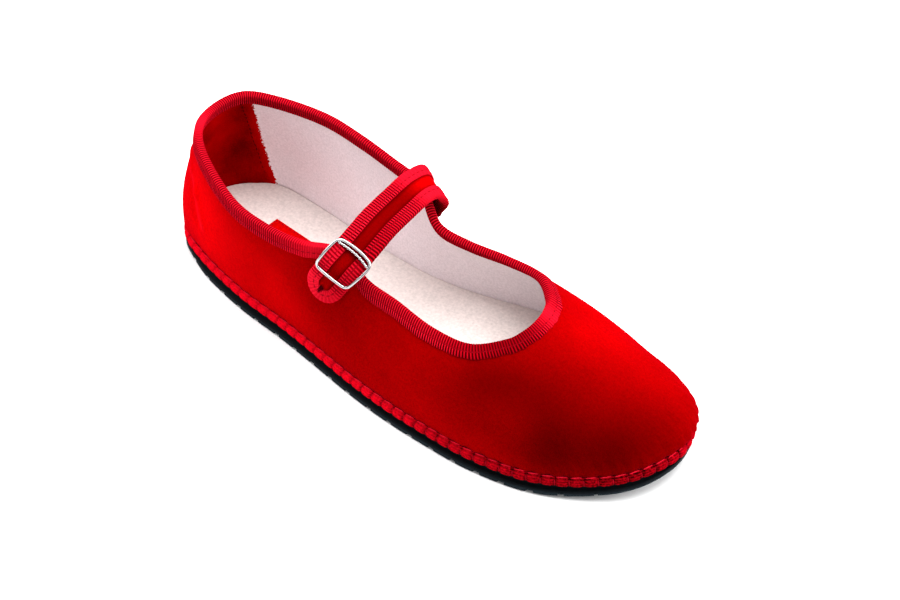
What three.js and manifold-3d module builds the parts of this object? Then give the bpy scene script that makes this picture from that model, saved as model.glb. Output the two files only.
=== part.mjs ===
// A right mary jane shoe: velvet upper bound with ribbon, a buckled strap, stitched midsole, rubber outsole.
// Millimetres, +Z up. The shoe stands on its sole, toe towards +X and the inner side of the foot towards +Y.

import * as THREE from "three";
import { mergeVertices } from "three/addons/utils/BufferGeometryUtils.js";
import Module from "manifold-3d";

// Driving dimensions
const LENGTH = 247; // sole, heel to toe
const BALL_WIDTH = 86; // sole, across the ball
const HEEL_HEIGHT = 62; // collar at the back of the heel, above the floor
const INSTEP_HEIGHT = 64; // strap over the instep, above the floor

// Sole layers
const OUTSOLE = 4.8; // rubber, thickness
const OUTSOLE_LIP = 3.2; // height of the outsole's lower, wider band
const OUTSOLE_GROOVE = 1.2; // how far the band above it steps in
const MIDSOLE = 4; // stitched textile layer, thickness
const MIDSOLE_ROUND = 0.9; // how far its edge rounds in at top and bottom
const LEDGE = 1.8; // how far the midsole stands out beyond the upper
const INSOLE = 1.6;
const INSOLE_INSET = 1.2; // from the upper's inner face
const GAP = 0.3; // between pieces that meet
const TOE_SPRING = 6; // lift of the sole under the toe tip
const SPRING_START = 0.8 * LENGTH; // where the sole starts to lift

// Tread
const TREAD_PITCH = 11;
const TREAD_WIDTH = 3;
const TREAD_DEPTH = 1.4;
const TREAD_LENGTH = 20; // from the sole's edge inwards
const TREAD_SLANT = 0.3; // radians

// Upper and ribbons
const WALL = 2; // velvet, interlining and lining together
const BINDING_WIDTH = 5.6; // ribbon on each face of the collar
const RIBBON = 0.7; // thickness of the ribbon

// Strap
const STRAP_WIDTH = 16.5;
const STRAP_BODY = 1.4; // thickness of the velvet band between its ribbons
const STRAP_RIBBON_WIDTH = 5; // ribbon on each face of the strap
const STRAP_GAP = 0.2; // between the band and its ribbon

// Buckle
const BUCKLE_WIDTH = 18; // outside, across the strap
const BUCKLE_LENGTH = 14.8; // outside, along the strap
const BUCKLE_CORNER = 2; // corner radius of the wire's centre line
const BUCKLE_WIRE = 1.5; // wire diameter
const BUCKLE_START = 70.1; // along the strap from its sewn end to the first bar
const GRIP_BAR_AT = 2.3; // from the first bar to the toothed bar
const GRIP_BAR = 1.6; // diameter of the toothed bar
const BAR_SIDES = 8;

// Mesh steps
const COLUMNS_PER_RIB = 4;
const WALL_ROWS = 8;
const STRAP_STEPS = 30;
const TIP_STEPS = 10;

// Ribs run up the last from the sole's edge to the collar, in order from the heel to the toe.
// sole, collar: [share of the length, outer half breadth, inner half breadth], with breadths as shares of the
// ball width.
// high: collar height on the outer and the inner side, as shares of the heel height.
const RIBS = [
  // heel, counter, quarter, waist
  { sole: [0, 0.02, 0.02], collar: [0.039, 0.04, 0.04], high: [1, 1] },
  { sole: [0.03, -0.195, 0.235], collar: [0.0545, -0.124, 0.2], high: [1.005, 1] },
  { sole: [0.1, -0.297, 0.345], collar: [0.108, -0.258, 0.28], high: [0.99, 1] },
  { sole: [0.21, -0.372, 0.345], collar: [0.2, -0.358, 0.326], high: [0.905, 1.01] },
  { sole: [0.31, -0.402, 0.319], collar: [0.28, -0.376, 0.326], high: [0.88, 0.99] },
  { sole: [0.38, -0.43, 0.316], collar: [0.349, -0.36, 0.322], high: [0.895, 0.945] },
  // tabs under the strap
  { sole: [0.43, -0.452, 0.319], collar: [0.4, -0.314, 0.3], high: [0.925, 0.94] },
  { sole: [0.485, -0.476, 0.34], collar: [0.434, -0.297, 0.269], high: [0.895, 0.88] },
  { sole: [0.55, -0.495, 0.387], collar: [0.468, -0.296, 0.238], high: [0.775, 0.742] },
  // ball, vamp, throat, toe
  { sole: [0.63, -0.502, 0.456], collar: [0.527, -0.296, 0.242], high: [0.752, 0.725] },
  { sole: [0.73, -0.492, 0.5], collar: [0.6, -0.299, 0.268], high: [0.712, 0.735] },
  { sole: [0.83, -0.43, 0.48], collar: [0.666, -0.262, 0.264], high: [0.693, 0.75] },
  { sole: [0.915, -0.3, 0.432], collar: [0.7065, -0.138, 0.183], high: [0.7, 0.745] },
  { sole: [0.972, -0.14, 0.32], collar: [0.7185, -0.05, 0.112], high: [0.714, 0.737] },
  { sole: [1, 0.1, 0.1], collar: [0.7215, 0.03, 0.03], high: [0.724, 0.724] },
];

// The wall's curve along each rib, in the same order.
// rise, flare: its start at the sole, as a share of the rib and in degrees outwards from upright.
// reach, lean: its end at the collar, as a share of the rib and in degrees outwards from straight down,
// with the lean given for the outer and the inner side.
const WALL_CURVES = [
  // heel, counter, quarter, waist
  { rise: 0.35, flare: 12, reach: 0.35, lean: [10, 10] },
  { rise: 0.35, flare: 12, reach: 0.35, lean: [10, 10] },
  { rise: 0.35, flare: 10, reach: 0.35, lean: [8, 8] },
  { rise: 0.34, flare: 6, reach: 0.34, lean: [6, 6] },
  { rise: 0.34, flare: 4, reach: 0.34, lean: [6, 6] },
  { rise: 0.34, flare: 3, reach: 0.34, lean: [8, 8] },
  // tabs under the strap
  { rise: 0.34, flare: 3, reach: 0.34, lean: [10, 8] },
  { rise: 0.34, flare: 4, reach: 0.34, lean: [14, 10] },
  { rise: 0.34, flare: 5, reach: 0.34, lean: [24, 18] },
  // ball, vamp, throat, toe
  { rise: 0.33, flare: 6, reach: 0.36, lean: [38, 28] },
  { rise: 0.29, flare: 7, reach: 0.38, lean: [52, 36] },
  { rise: 0.24, flare: 9, reach: 0.4, lean: [62, 41] },
  { rise: 0.2, flare: 11, reach: 0.42, lean: [68, 48] },
  { rise: 0.18, flare: 12, reach: 0.42, lean: [69, 59] },
  { rise: 0.18, flare: 12, reach: 0.42, lean: [67, 67] },
];

// Centre line of the strap from its sewn end on the inner side, over the instep, to its tip on the outer side.
// along: share of the length. across: share of the ball width. high: share of the instep height.
// splay, dip: degrees that the strap's front edge turns to the inner side and downwards from straight ahead.
const STRAP_ROUTE = [
  { along: 0.422, across: 0.336, high: 0.656, splay: -6, dip: 22 },
  { along: 0.4275, across: 0.334, high: 0.766, splay: -10, dip: 22 },
  { along: 0.431, across: 0.328, high: 0.872, splay: -18, dip: 22 },
  { along: 0.431, across: 0.29, high: 0.951, splay: -20, dip: 18 },
  { along: 0.428, across: 0.212, high: 0.972, splay: -10, dip: 15 },
  { along: 0.431, across: 0.058, high: 0.977, splay: -2, dip: 14 },
  { along: 0.435, across: -0.093, high: 0.977, splay: 2, dip: 14 },
  { along: 0.439, across: -0.198, high: 0.963, splay: 4, dip: 15 },
  { along: 0.439, across: -0.286, high: 0.928, splay: 6, dip: 18 },
  { along: 0.4305, across: -0.349, high: 0.856, splay: 8, dip: 20 },
  { along: 0.4185, across: -0.377, high: 0.758, splay: 8, dip: 20 },
  { along: 0.4065, across: -0.4, high: 0.67, splay: 6, dip: 20 },
  { along: 0.3955, across: -0.417, high: 0.605, splay: 4, dip: 20 },
];

const UP = new THREE.Vector3(0, 0, 1);
const OUTER = 0; // side of the foot that a table's pair of values starts with
const INNER = 1;
const COLUMNS = 2 * (RIBS.length - 1) * COLUMNS_PER_RIB;
const MIDSOLE_FOOT = OUTSOLE + GAP;
const FEATHER = MIDSOLE_FOOT + MIDSOLE + GAP; // foot of the upper and of the insole

const wasm = await Module();
wasm.setup();

// Curves round the shoe: u runs from the heel along the outer side to the toe and back along the inner side

function curveRound(table, pick) {
  const outer = table.map((row) => pick(row, OUTER));
  const inner = table.slice(1, -1).map((row) => pick(row, INNER));
  return new THREE.CatmullRomCurve3([...outer, ...inner.reverse()], true, "catmullrom", 0.5);
}

const soleCurve = curveRound(
  RIBS,
  ({ sole }, side) => new THREE.Vector3(sole[0] * LENGTH, sole[1 + side] * BALL_WIDTH, 0),
);

const collarCurve = curveRound(
  RIBS,
  ({ collar, high }, side) =>
    new THREE.Vector3(collar[0] * LENGTH, collar[1 + side] * BALL_WIDTH, high[side] * HEEL_HEIGHT),
);

const footCurve = curveRound(WALL_CURVES, ({ rise, flare }) => new THREE.Vector3(rise, flare, 0));

const topCurve = curveRound(WALL_CURVES, ({ reach, lean }, side) => new THREE.Vector3(reach, lean[side], 0));

// Level direction pointing away from the shoe, square to a curve at u.
function outwards(curve, u) {
  const tangent = curve.getTangent(u);
  return new THREE.Vector3(tangent.y, -tangent.x, 0).normalize();
}

// How far the sole has lifted off the floor at x.
function lift(x) {
  const share = Math.max(0, (x - SPRING_START) / (LENGTH - SPRING_START));
  return TOE_SPRING * share * share;
}

// The sole's outline moved out by grow, at a height above the sole's foot.
function solePoint(u, grow, height) {
  const point = soleCurve.getPoint(u).addScaledVector(outwards(soleCurve, u), grow);
  point.z = height + lift(point.x);
  return point;
}

function soleRing(grow, height) {
  return Array.from({ length: COLUMNS }, (_, k) => solePoint(k / COLUMNS, grow, height));
}

// The last: outer face of the upper, where t runs from the sole to the collar

// Direction in an upright plane: degrees from up or down towards out.
function leaning(upright, out, degrees) {
  const angle = THREE.MathUtils.degToRad(degrees);
  return upright.clone().multiplyScalar(Math.cos(angle)).addScaledVector(out, Math.sin(angle));
}

function wallCurve(u) {
  const foot = solePoint(u, -LEDGE, FEATHER);
  const collar = collarCurve.getPoint(u);
  const length = foot.distanceTo(collar);
  const { x: rise, y: flare } = footCurve.getPoint(u);
  const { x: reach, y: lean } = topCurve.getPoint(u);
  const start = leaning(UP, outwards(soleCurve, u), flare);
  const end = leaning(UP.clone().negate(), outwards(collarCurve, u), lean);
  return new THREE.CubicBezierCurve3(
    foot,
    foot.clone().addScaledVector(start, rise * length),
    collar.clone().addScaledVector(end, reach * length),
    collar,
  );
}

function wallPoint(u, t) {
  return wallCurve(u - Math.floor(u)).getPoint(t);
}

function wallNormal(u, t) {
  const step = 0.002;
  const around = wallPoint(u + step, t).sub(wallPoint(u - step, t));
  const upwards = wallPoint(u, Math.min(1, t + step)).sub(wallPoint(u, Math.max(0, t - step)));
  return around.cross(upwards).normalize();
}

// A point off the wall: depth inwards from its outer face.
function inside(u, t, depth) {
  return wallPoint(u, t).addScaledVector(wallNormal(u, t), -depth);
}

// The t at which the wall lies a given distance below the collar.
function belowCollar(u, distance) {
  const steps = 200;
  let last = wallPoint(u, 1);
  let travelled = 0;
  let t = 1;
  while (travelled < distance) {
    t -= 1 / steps;
    const point = wallPoint(u, t);
    travelled += point.distanceTo(last);
    last = point;
  }
  return t;
}

// Solids

function signedVolume(points, faces) {
  let volume = 0;
  for (let i = 0; i < faces.length; i += 3) {
    const [a, b, c] = faces.slice(i, i + 3).map((index) => points[index]);
    volume += a.dot(b.clone().cross(c)) / 6;
  }
  return volume;
}

// A closed mesh of points and triangles, turned so that its faces point out.
function solid(points, faces) {
  const geometry = new THREE.BufferGeometry().setFromPoints(points);
  geometry.setIndex(signedVolume(points, faces) < 0 ? faces.reverse() : faces);
  return geometry;
}

// A solid through sections with equally many points: a ring, or a run with both ends closed.
function loft(sections, isRing) {
  const size = sections[0].length;
  const faces = [];
  const spans = isRing ? sections.length : sections.length - 1;
  for (let i = 0; i < spans; i++) {
    const here = i * size;
    const next = ((i + 1) % sections.length) * size;
    for (let j = 0; j < size; j++) {
      const k = (j + 1) % size;
      faces.push(here + j, next + j, next + k, here + j, next + k, here + k);
    }
  }
  if (!isRing) {
    const last = (sections.length - 1) * size;
    for (let j = 0; 2 * j < size - 2; j++) {
      const [a, b, c, d] = [j, j + 1, size - 2 - j, size - 1 - j];
      faces.push(a, b, d, last + a, last + d, last + b);
      if (b !== c) {
        faces.push(b, c, d, last + b, last + d, last + c);
      }
    }
  }
  return solid(sections.flat(), faces);
}

// A slab through rings of points round the shoe, from its underside to its top, closed from side to side.
function slab(rings) {
  const size = rings[0].length;
  const faces = [];
  for (let i = 0; i < rings.length - 1; i++) {
    const here = i * size;
    const next = here + size;
    for (let j = 0; j < size; j++) {
      const k = (j + 1) % size;
      faces.push(here + j, here + k, next + k, here + j, next + k, next + j);
    }
  }
  const top = (rings.length - 1) * size;
  for (let j = 0; j < size / 2; j++) {
    const [outer, outerNext] = [j, j + 1];
    const [inner, innerNext] = [(size - j) % size, size - j - 1];
    if (outer !== inner) {
      faces.push(outer, inner, outerNext);
      faces.push(top + outer, top + outerNext, top + inner);
    }
    if (outerNext !== innerNext) {
      faces.push(inner, innerNext, outerNext);
      faces.push(top + inner, top + outerNext, top + innerNext);
    }
  }
  return solid(rings.flat(), faces);
}

function toManifold(geometry) {
  const bare = geometry.clone();
  bare.deleteAttribute("normal");
  bare.deleteAttribute("uv");
  const merged = mergeVertices(bare, 1e-4);
  const vertProperties = new Float32Array(merged.attributes.position.array);
  const triVerts = new Uint32Array(merged.index.array);
  return new wasm.Manifold(new wasm.Mesh({ numProp: 3, vertProperties, triVerts }));
}

function fromManifold(body) {
  const { vertProperties, triVerts } = body.getMesh();
  const geometry = new THREE.BufferGeometry();
  geometry.setAttribute("position", new THREE.BufferAttribute(vertProperties, 3));
  geometry.setIndex(new THREE.BufferAttribute(triVerts, 1));
  return geometry;
}

// Sole

// The u of the sole's outline nearest to x, on the outer side (-1) or the inner side (1).
function outlineAt(x, side) {
  const columns = Array.from({ length: COLUMNS / 2 }, (_, k) => (side < 0 ? k : COLUMNS - k) / COLUMNS);
  const distance = (u) => Math.abs(soleCurve.getPoint(u).x - x);
  return columns.reduce((best, u) => (distance(u) < distance(best) ? u : best));
}

function treadCutter(x, side) {
  const edge = solePoint(outlineAt(x, side), 0, 0);
  const slope = Math.atan(lift(edge.x + 1) - lift(edge.x));
  const turn = new THREE.Euler(0, -slope, side * TREAD_SLANT, "ZYX");
  const inwards = TREAD_LENGTH / 2 - TREAD_WIDTH;
  const place = new THREE.Vector3(edge.x, edge.y - side * inwards, edge.z);
  const box = new THREE.BoxGeometry(TREAD_WIDTH, TREAD_LENGTH, 2 * TREAD_DEPTH);
  box.applyMatrix4(new THREE.Matrix4().makeRotationFromEuler(turn).setPosition(place));
  return toManifold(box);
}

function outsole() {
  const chamfer = OUTSOLE_GROOVE / 2;
  let body = toManifold(
    slab([
      soleRing(-chamfer, 0),
      soleRing(0, chamfer),
      soleRing(0, OUTSOLE_LIP),
      soleRing(-OUTSOLE_GROOVE, OUTSOLE_LIP + chamfer),
      soleRing(-OUTSOLE_GROOVE, OUTSOLE),
    ]),
  );
  for (let x = TREAD_PITCH; x < LENGTH - TREAD_PITCH; x += TREAD_PITCH) {
    for (const side of [-1, 1]) {
      body = body.subtract(treadCutter(x, side));
    }
  }
  return fromManifold(body);
}

function midsole() {
  const top = MIDSOLE_FOOT + MIDSOLE;
  return slab([
    soleRing(-MIDSOLE_ROUND, MIDSOLE_FOOT),
    soleRing(0, MIDSOLE_FOOT + MIDSOLE_ROUND),
    soleRing(0, top - MIDSOLE_ROUND),
    soleRing(-MIDSOLE_ROUND, top),
  ]);
}

function insole() {
  const inset = LEDGE + WALL + INSOLE_INSET;
  return slab([soleRing(-inset, FEATHER), soleRing(-inset, FEATHER + INSOLE)]);
}

// Upper

function upper() {
  const rows = Array.from({ length: WALL_ROWS + 1 }, (_, row) => row / WALL_ROWS);
  const sections = Array.from({ length: COLUMNS }, (_, k) => {
    const u = k / COLUMNS;
    const outer = rows.map((t) => wallPoint(u, t));
    const inner = rows.map((t) => inside(u, t, WALL));
    inner[0].z = outer[0].z;
    return [...outer, ...inner.reverse()];
  });
  return loft(sections, true);
}

// Ribbon folded over the collar: a leg on each face of the wall, joined over its edge.
function collarBinding() {
  const sections = Array.from({ length: COLUMNS }, (_, k) => {
    const u = k / COLUMNS;
    const hem = belowCollar(u, BINDING_WIDTH);
    const over = wallPoint(u, 1).sub(wallPoint(u, hem)).normalize();
    const atEdge = (depth, rise) => inside(u, 1, depth).addScaledVector(over, rise);
    return [
      inside(u, hem, -GAP - RIBBON),
      atEdge(-GAP - RIBBON, 0),
      atEdge(WALL / 2, GAP + RIBBON + GAP),
      atEdge(WALL + GAP + RIBBON, 0),
      inside(u, hem, WALL + GAP + RIBBON),
      inside(u, hem, WALL + GAP),
      atEdge(WALL + GAP, GAP),
      atEdge(-GAP, GAP),
      inside(u, hem, -GAP),
    ];
  });
  return loft(sections, true);
}

// Strap

const strapCurve = new THREE.CatmullRomCurve3(
  STRAP_ROUTE.map(
    ({ along, across, high }) =>
      new THREE.Vector3(along * LENGTH, across * BALL_WIDTH, high * INSTEP_HEIGHT),
  ),
);
const STRAP_LENGTH = strapCurve.getLength();
const STRAP_TOP = STRAP_BODY / 2 + STRAP_GAP + RIBBON; // face of the ribbon, above the strap's middle

// An angle from the route's table at a share of the strap's route, in radians.
function turnAt(share, column) {
  const place = share * (STRAP_ROUTE.length - 1);
  const row = Math.min(Math.floor(place), STRAP_ROUTE.length - 2);
  const degrees = THREE.MathUtils.lerp(STRAP_ROUTE[row][column], STRAP_ROUTE[row + 1][column], place - row);
  return THREE.MathUtils.degToRad(degrees);
}

// A point of the strap: distance along it, distance across it towards the toe, height above its middle.
function strapPoint(along, across, height) {
  const share = strapCurve.getUtoTmapping(along / STRAP_LENGTH);
  const tangent = strapCurve.getTangent(share);
  const ahead = new THREE.Vector3(1, 0, 0);
  ahead.applyEuler(new THREE.Euler(0, turnAt(share, "dip"), turnAt(share, "splay"), "ZYX"));
  ahead.addScaledVector(tangent, -ahead.dot(tangent)).normalize();
  const out = new THREE.Vector3().crossVectors(tangent, ahead);
  return strapCurve.getPoint(share).addScaledVector(ahead, across).addScaledVector(out, height);
}

// Outline of the strap, drawn in by inset, from the sewn end round the tip and back, as [along, across].
function strapOutline(inset) {
  const radius = STRAP_WIDTH / 2 - inset;
  const centre = STRAP_LENGTH - STRAP_WIDTH / 2;
  const run = Array.from({ length: STRAP_STEPS }, (_, i) => (i / STRAP_STEPS) * centre);
  const tip = Array.from({ length: TIP_STEPS + 1 }, (_, i) => (i / TIP_STEPS) * Math.PI);
  return [
    ...run.map((along) => [along, -radius]),
    ...tip.map((angle) => [centre + radius * Math.sin(angle), -radius * Math.cos(angle)]),
    ...run.toReversed().map((along) => [along, radius]),
  ];
}

function strap() {
  const outline = strapOutline(STRAP_GAP + RIBBON);
  const back = outline.slice(0, Math.floor(outline.length / 2));
  const half = STRAP_BODY / 2;
  const sections = back.map(([along, edge]) => {
    const top = [edge, 0, -edge].map((across) => strapPoint(along, across, half));
    const underside = [-edge, 0, edge].map((across) => strapPoint(along, across, -half));
    return [...top, ...underside];
  });
  return loft(sections, false);
}

// Ribbon folded over the strap's edge, from the sewn end round the tip and back.
function strapBinding() {
  const inner = STRAP_BODY / 2 + STRAP_GAP;
  const profile = [
    { inset: STRAP_RIBBON_WIDTH, height: STRAP_TOP },
    { inset: RIBBON / 2, height: STRAP_TOP },
    { inset: 0, height: 0 },
    { inset: RIBBON / 2, height: -STRAP_TOP },
    { inset: STRAP_RIBBON_WIDTH, height: -STRAP_TOP },
    { inset: STRAP_RIBBON_WIDTH, height: -inner },
    { inset: RIBBON, height: -inner },
    { inset: RIBBON, height: inner },
    { inset: STRAP_RIBBON_WIDTH, height: inner },
  ];
  const edges = profile.map(({ inset, height }) =>
    strapOutline(inset).map(([along, across]) => strapPoint(along, across, height)),
  );
  const sections = edges[0].map((_, i) => edges.map((edge) => edge[i]));
  return loft(sections, false);
}

// Buckle

// A round bar through points given as [along, across] on the strap, resting on the strap's ribbon.
function barOnStrap(route, diameter, isRing) {
  const height = STRAP_TOP + GAP + diameter / 2;
  const points = route.map(([along, across]) => strapPoint(along, across, height));
  const count = points.length;
  const sections = points.map((point, i) => {
    const before = points[isRing ? (i + count - 1) % count : Math.max(i - 1, 0)];
    const after = points[isRing ? (i + 1) % count : Math.min(i + 1, count - 1)];
    const out = strapPoint(route[i][0], route[i][1], height + 1).sub(point);
    const side = after.clone().sub(before).cross(out).normalize();
    return Array.from({ length: BAR_SIDES }, (_, j) => {
      const angle = (j / BAR_SIDES) * 2 * Math.PI;
      const section = point.clone().addScaledVector(side, (Math.cos(angle) * diameter) / 2);
      return section.addScaledVector(out, (Math.sin(angle) * diameter) / 2);
    });
  });
  return loft(sections, isRing);
}

function buckleFrame() {
  const side = (BUCKLE_WIDTH - BUCKLE_WIRE) / 2;
  const half = side - BUCKLE_CORNER;
  const near = BUCKLE_START + BUCKLE_CORNER;
  const far = BUCKLE_START + BUCKLE_LENGTH - BUCKLE_WIRE - BUCKLE_CORNER;
  const sideBar = [0.25, 0.5, 0.75].map((share) => THREE.MathUtils.lerp(near, far, share));
  const corner = (along, across, from) =>
    [0, 30, 60, 90].map((turn) => {
      const angle = THREE.MathUtils.degToRad(from + turn);
      return [along + BUCKLE_CORNER * Math.sin(angle), across + BUCKLE_CORNER * Math.cos(angle)];
    });
  const route = [
    ...corner(far, half, 0),
    ...corner(far, -half, 90),
    ...sideBar.toReversed().map((along) => [along, -side]),
    ...corner(near, -half, 180),
    ...corner(near, half, 270),
    ...sideBar.map((along) => [along, side]),
  ];
  return barOnStrap(route, BUCKLE_WIRE, true);
}

function gripBar() {
  const half = BUCKLE_WIDTH / 2 - BUCKLE_WIRE - GAP;
  const route = [-half, 0, half].map((across) => [BUCKLE_START + GRIP_BAR_AT, across]);
  return barOnStrap(route, GRIP_BAR, false);
}

// Materials and assembly

const velvet = new THREE.MeshStandardMaterial({ color: 0xb00208, roughness: 0.9, metalness: 0 });
const ribbon = new THREE.MeshStandardMaterial({ color: 0xc8061c, roughness: 0.6, metalness: 0 });
const stitchedCloth = new THREE.MeshStandardMaterial({ color: 0xc4081c, roughness: 0.8, metalness: 0 });
const suede = new THREE.MeshStandardMaterial({ color: 0xe9d8cf, roughness: 0.95, metalness: 0 });
const rubber = new THREE.MeshStandardMaterial({ color: 0x171b20, roughness: 0.7, metalness: 0 });
const nickel = new THREE.MeshStandardMaterial({ color: 0xd9dadc, roughness: 0.2, metalness: 1 });

function piece(name, geometry, material) {
  const mesh = new THREE.Mesh(geometry, material);
  mesh.name = name;
  return mesh;
}

const shoe = new THREE.Group();
shoe.add(
  piece("outsole", outsole(), rubber),
  piece("midsole", midsole(), stitchedCloth),
  piece("insole", insole(), suede),
  piece("upper", upper(), velvet),
  piece("collar_binding", collarBinding(), ribbon),
  piece("strap", strap(), velvet),
  piece("strap_binding", strapBinding(), ribbon),
  piece("buckle_frame", buckleFrame(), nickel),
  piece("buckle_grip_bar", gripBar(), nickel),
);

// The origin is on the floor under the middle of the sole.
const middle = new THREE.Box3().setFromPoints(soleRing(0, 0)).getCenter(new THREE.Vector3());
shoe.position.set(-middle.x, -middle.y, 0);

export default shoe;
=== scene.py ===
"""A right mary jane shoe in red velvet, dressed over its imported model.

Objects are in metres, with the toe towards +X and the inner side of the foot towards +Y. Shapes are worked
out in millimetres from the heel and moved to the model's origin when a mesh is made.
"""

import math

import bpy
import numpy as np
from mathutils import Matrix, Vector


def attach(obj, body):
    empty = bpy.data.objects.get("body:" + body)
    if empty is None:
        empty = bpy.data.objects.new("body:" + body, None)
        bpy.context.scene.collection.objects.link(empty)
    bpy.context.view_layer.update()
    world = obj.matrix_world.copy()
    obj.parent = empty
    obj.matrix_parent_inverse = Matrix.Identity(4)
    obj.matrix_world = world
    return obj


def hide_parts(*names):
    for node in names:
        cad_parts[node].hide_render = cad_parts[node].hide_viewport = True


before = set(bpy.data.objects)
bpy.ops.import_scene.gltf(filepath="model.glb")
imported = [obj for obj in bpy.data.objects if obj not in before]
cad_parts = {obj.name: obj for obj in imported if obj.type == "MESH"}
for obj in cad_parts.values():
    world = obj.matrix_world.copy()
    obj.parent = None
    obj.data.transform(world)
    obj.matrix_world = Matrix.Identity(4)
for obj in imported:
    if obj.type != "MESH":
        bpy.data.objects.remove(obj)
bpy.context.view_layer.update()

bl_info = {
    "name": "Velvet Mary Jane Shoe",
    "version": (1, 0, 0),
    "blender": (4, 5, 0),
    "location": "View3D > Sidebar > Shoe",
    "description": "Builds the upper, ribbons, strap, buckle and sole of a velvet mary jane shoe",
    "category": "Object",
}

MM = 0.001

# Sizes shared with the solids, in millimetres
LENGTH = 247.0
BALL_WIDTH = 86.0
HEEL_HEIGHT = 62.0
INSTEP_HEIGHT = 64.0
TOE_SPRING = 6.0
SPRING_START = 0.8 * LENGTH
LEDGE = 1.8
WALL = 2.0
BINDING_WIDTH = 5.6
RIBBON = 0.7
GAP = 0.3
OUTSOLE = 4.8
MIDSOLE_FOOT = OUTSOLE + GAP
MIDSOLE_TOP = MIDSOLE_FOOT + 4.0
FEATHER = MIDSOLE_TOP + GAP
INSOLE_TOP = FEATHER + 1.6
STRAP_WIDTH = 16.5
STRAP_BODY = 1.4
STRAP_RIBBON_WIDTH = 5.0
STRAP_GAP = 0.2
STRAP_TOP = STRAP_BODY / 2 + STRAP_GAP + RIBBON
BUCKLE_WIDTH = 18.0
BUCKLE_LENGTH = 14.8
BUCKLE_CORNER = 2.0
BUCKLE_WIRE = 1.5
BUCKLE_START = 70.1
GRIP_BAR_AT = 2.3
GRIP_BAR = 1.6
TREAD_PITCH = 11.0
TREAD_WIDTH = 3.0
TREAD_DEPTH = 1.4
TREAD_LENGTH = 20.0
TREAD_SLANT = 0.3

# From here on, detail that only this file has. Lengths are in millimetres too.

# Ribs of the ribbons: mesh columns to a rib, and their height
RIB_STEPS = 4
RIB_HEIGHT = 0.18

# Mesh columns of the midsole's cloth between two ties
BRICK_STEPS = 16

# Where the velvet hangs over the sole, as shares of the way round, and how far
TOE_HANG = (0.485, 0.53, 0.6, 0.68)
TOE_OVERHANG = 1.7
HEEL_HANG = (0.03, 0.065)
HEEL_OVERHANG = 1.2

# How far the sole is drawn in there, as shares of that, and how much farther round the outsole is
MIDSOLE_TUCK = 0.5
OUTSOLE_TUCK = 1.25
TUCK_SPREAD = 0.02

# Gathers of the velvet over the sole: the places along between which they grow, and how soon they fade upwards
GATHERED_TOE = (150, 215)
GATHER_HEIGHT = 5.0

# Tone of the velvet's pile, the painted light and shade on folds (ridges lighter, troughs darker), and the half
# width of the painted highlight along the heel ridge's crest
PILE_TONE = 0.37
FOLD_PAINTED_LIGHT = 0.08
CREST_HIGHLIGHT_WIDTH = 1.1

# Velvet piece inside the heel: how much thicker it is low down, how soon that fades upwards, how far its seam
# lies behind its edge, and the mark for places outside it
HEEL_CUP = 3.4
HEEL_CUP_HEIGHT = 7.0
HEEL_SEAM = 3.2
FAR_FROM_PIECE = -9.0

# Sewn end of the strap: how far its front edge is drawn in, and over what length
END_DRAWN_IN = 3.2
END_LENGTH = 11.0

# Where the strap is painted in shade under the buckle's bar, from the buckle's start, and the half width of that
BAR_SHADE_AT = 0.5
BAR_SHADE_WIDTH = 1.3

# Bow of the buckle's ends and sides, thickness of its bars as a share of the solids', and its teeth
BOW_FAR = 0.5
BOW_NEAR = -1.0
BOW_SIDES = 0.45
WIRE_SHARE = 0.84
GRIP_SHARE = 0.5
TEETH = 8
TOOTH_WIDTH = 1.2

# How the buckle sits askew: its width and place across at the near end, what they lose towards the far end, and
# how far the far end leans
NEAR_WIDTH = 1.02
WIDTH_LOSS = 0.095
NEAR_SHIFT = 0.84
SHIFT_LOSS = 0.93
FAR_LEAN = 1.1

# Patch on the insole, from the model's origin, with its turn in degrees
PATCH_CENTRE = (-69.6, -1.3)
PATCH_HALF = (17.0, 9.2)
PATCH_TURN = -4

# Length of the midsole's ties, and pitch and length of the patch's stitches
TIE_LENGTH = 3.5
PATCH_PITCH = 2.2
PATCH_STITCH = 1.5

# Turn of the threads and teeth that lie across their line
ACROSS = math.pi / 2

# Size of the grain in woven cloth and in thread
PATCH_WEAVE = 0.8
THREAD_TWIST = 0.4

# Ribs of the last from the heel to the toe. Columns: sole along, outer, inner; collar along, outer, inner;
# collar height outer, inner.
RIBS = np.array([
    (0, 0.02, 0.02, 0.039, 0.04, 0.04, 1, 1),
    (0.03, -0.195, 0.235, 0.0545, -0.124, 0.2, 1.005, 1),
    (0.1, -0.297, 0.345, 0.108, -0.258, 0.28, 0.99, 1),
    (0.21, -0.372, 0.345, 0.2, -0.358, 0.326, 0.905, 1.01),
    (0.31, -0.402, 0.319, 0.28, -0.376, 0.326, 0.88, 0.99),
    (0.38, -0.43, 0.316, 0.349, -0.36, 0.322, 0.895, 0.945),
    (0.43, -0.452, 0.319, 0.4, -0.314, 0.3, 0.925, 0.94),
    (0.485, -0.476, 0.34, 0.434, -0.297, 0.269, 0.895, 0.88),
    (0.55, -0.495, 0.387, 0.468, -0.296, 0.238, 0.775, 0.742),
    (0.63, -0.502, 0.456, 0.527, -0.296, 0.242, 0.752, 0.725),
    (0.73, -0.492, 0.5, 0.6, -0.299, 0.268, 0.712, 0.735),
    (0.83, -0.43, 0.48, 0.666, -0.262, 0.264, 0.693, 0.75),
    (0.915, -0.3, 0.432, 0.7065, -0.138, 0.183, 0.7, 0.745),
    (0.972, -0.14, 0.32, 0.7185, -0.05, 0.112, 0.714, 0.737),
    (1, 0.1, 0.1, 0.7215, 0.03, 0.03, 0.724, 0.724),
])

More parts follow.
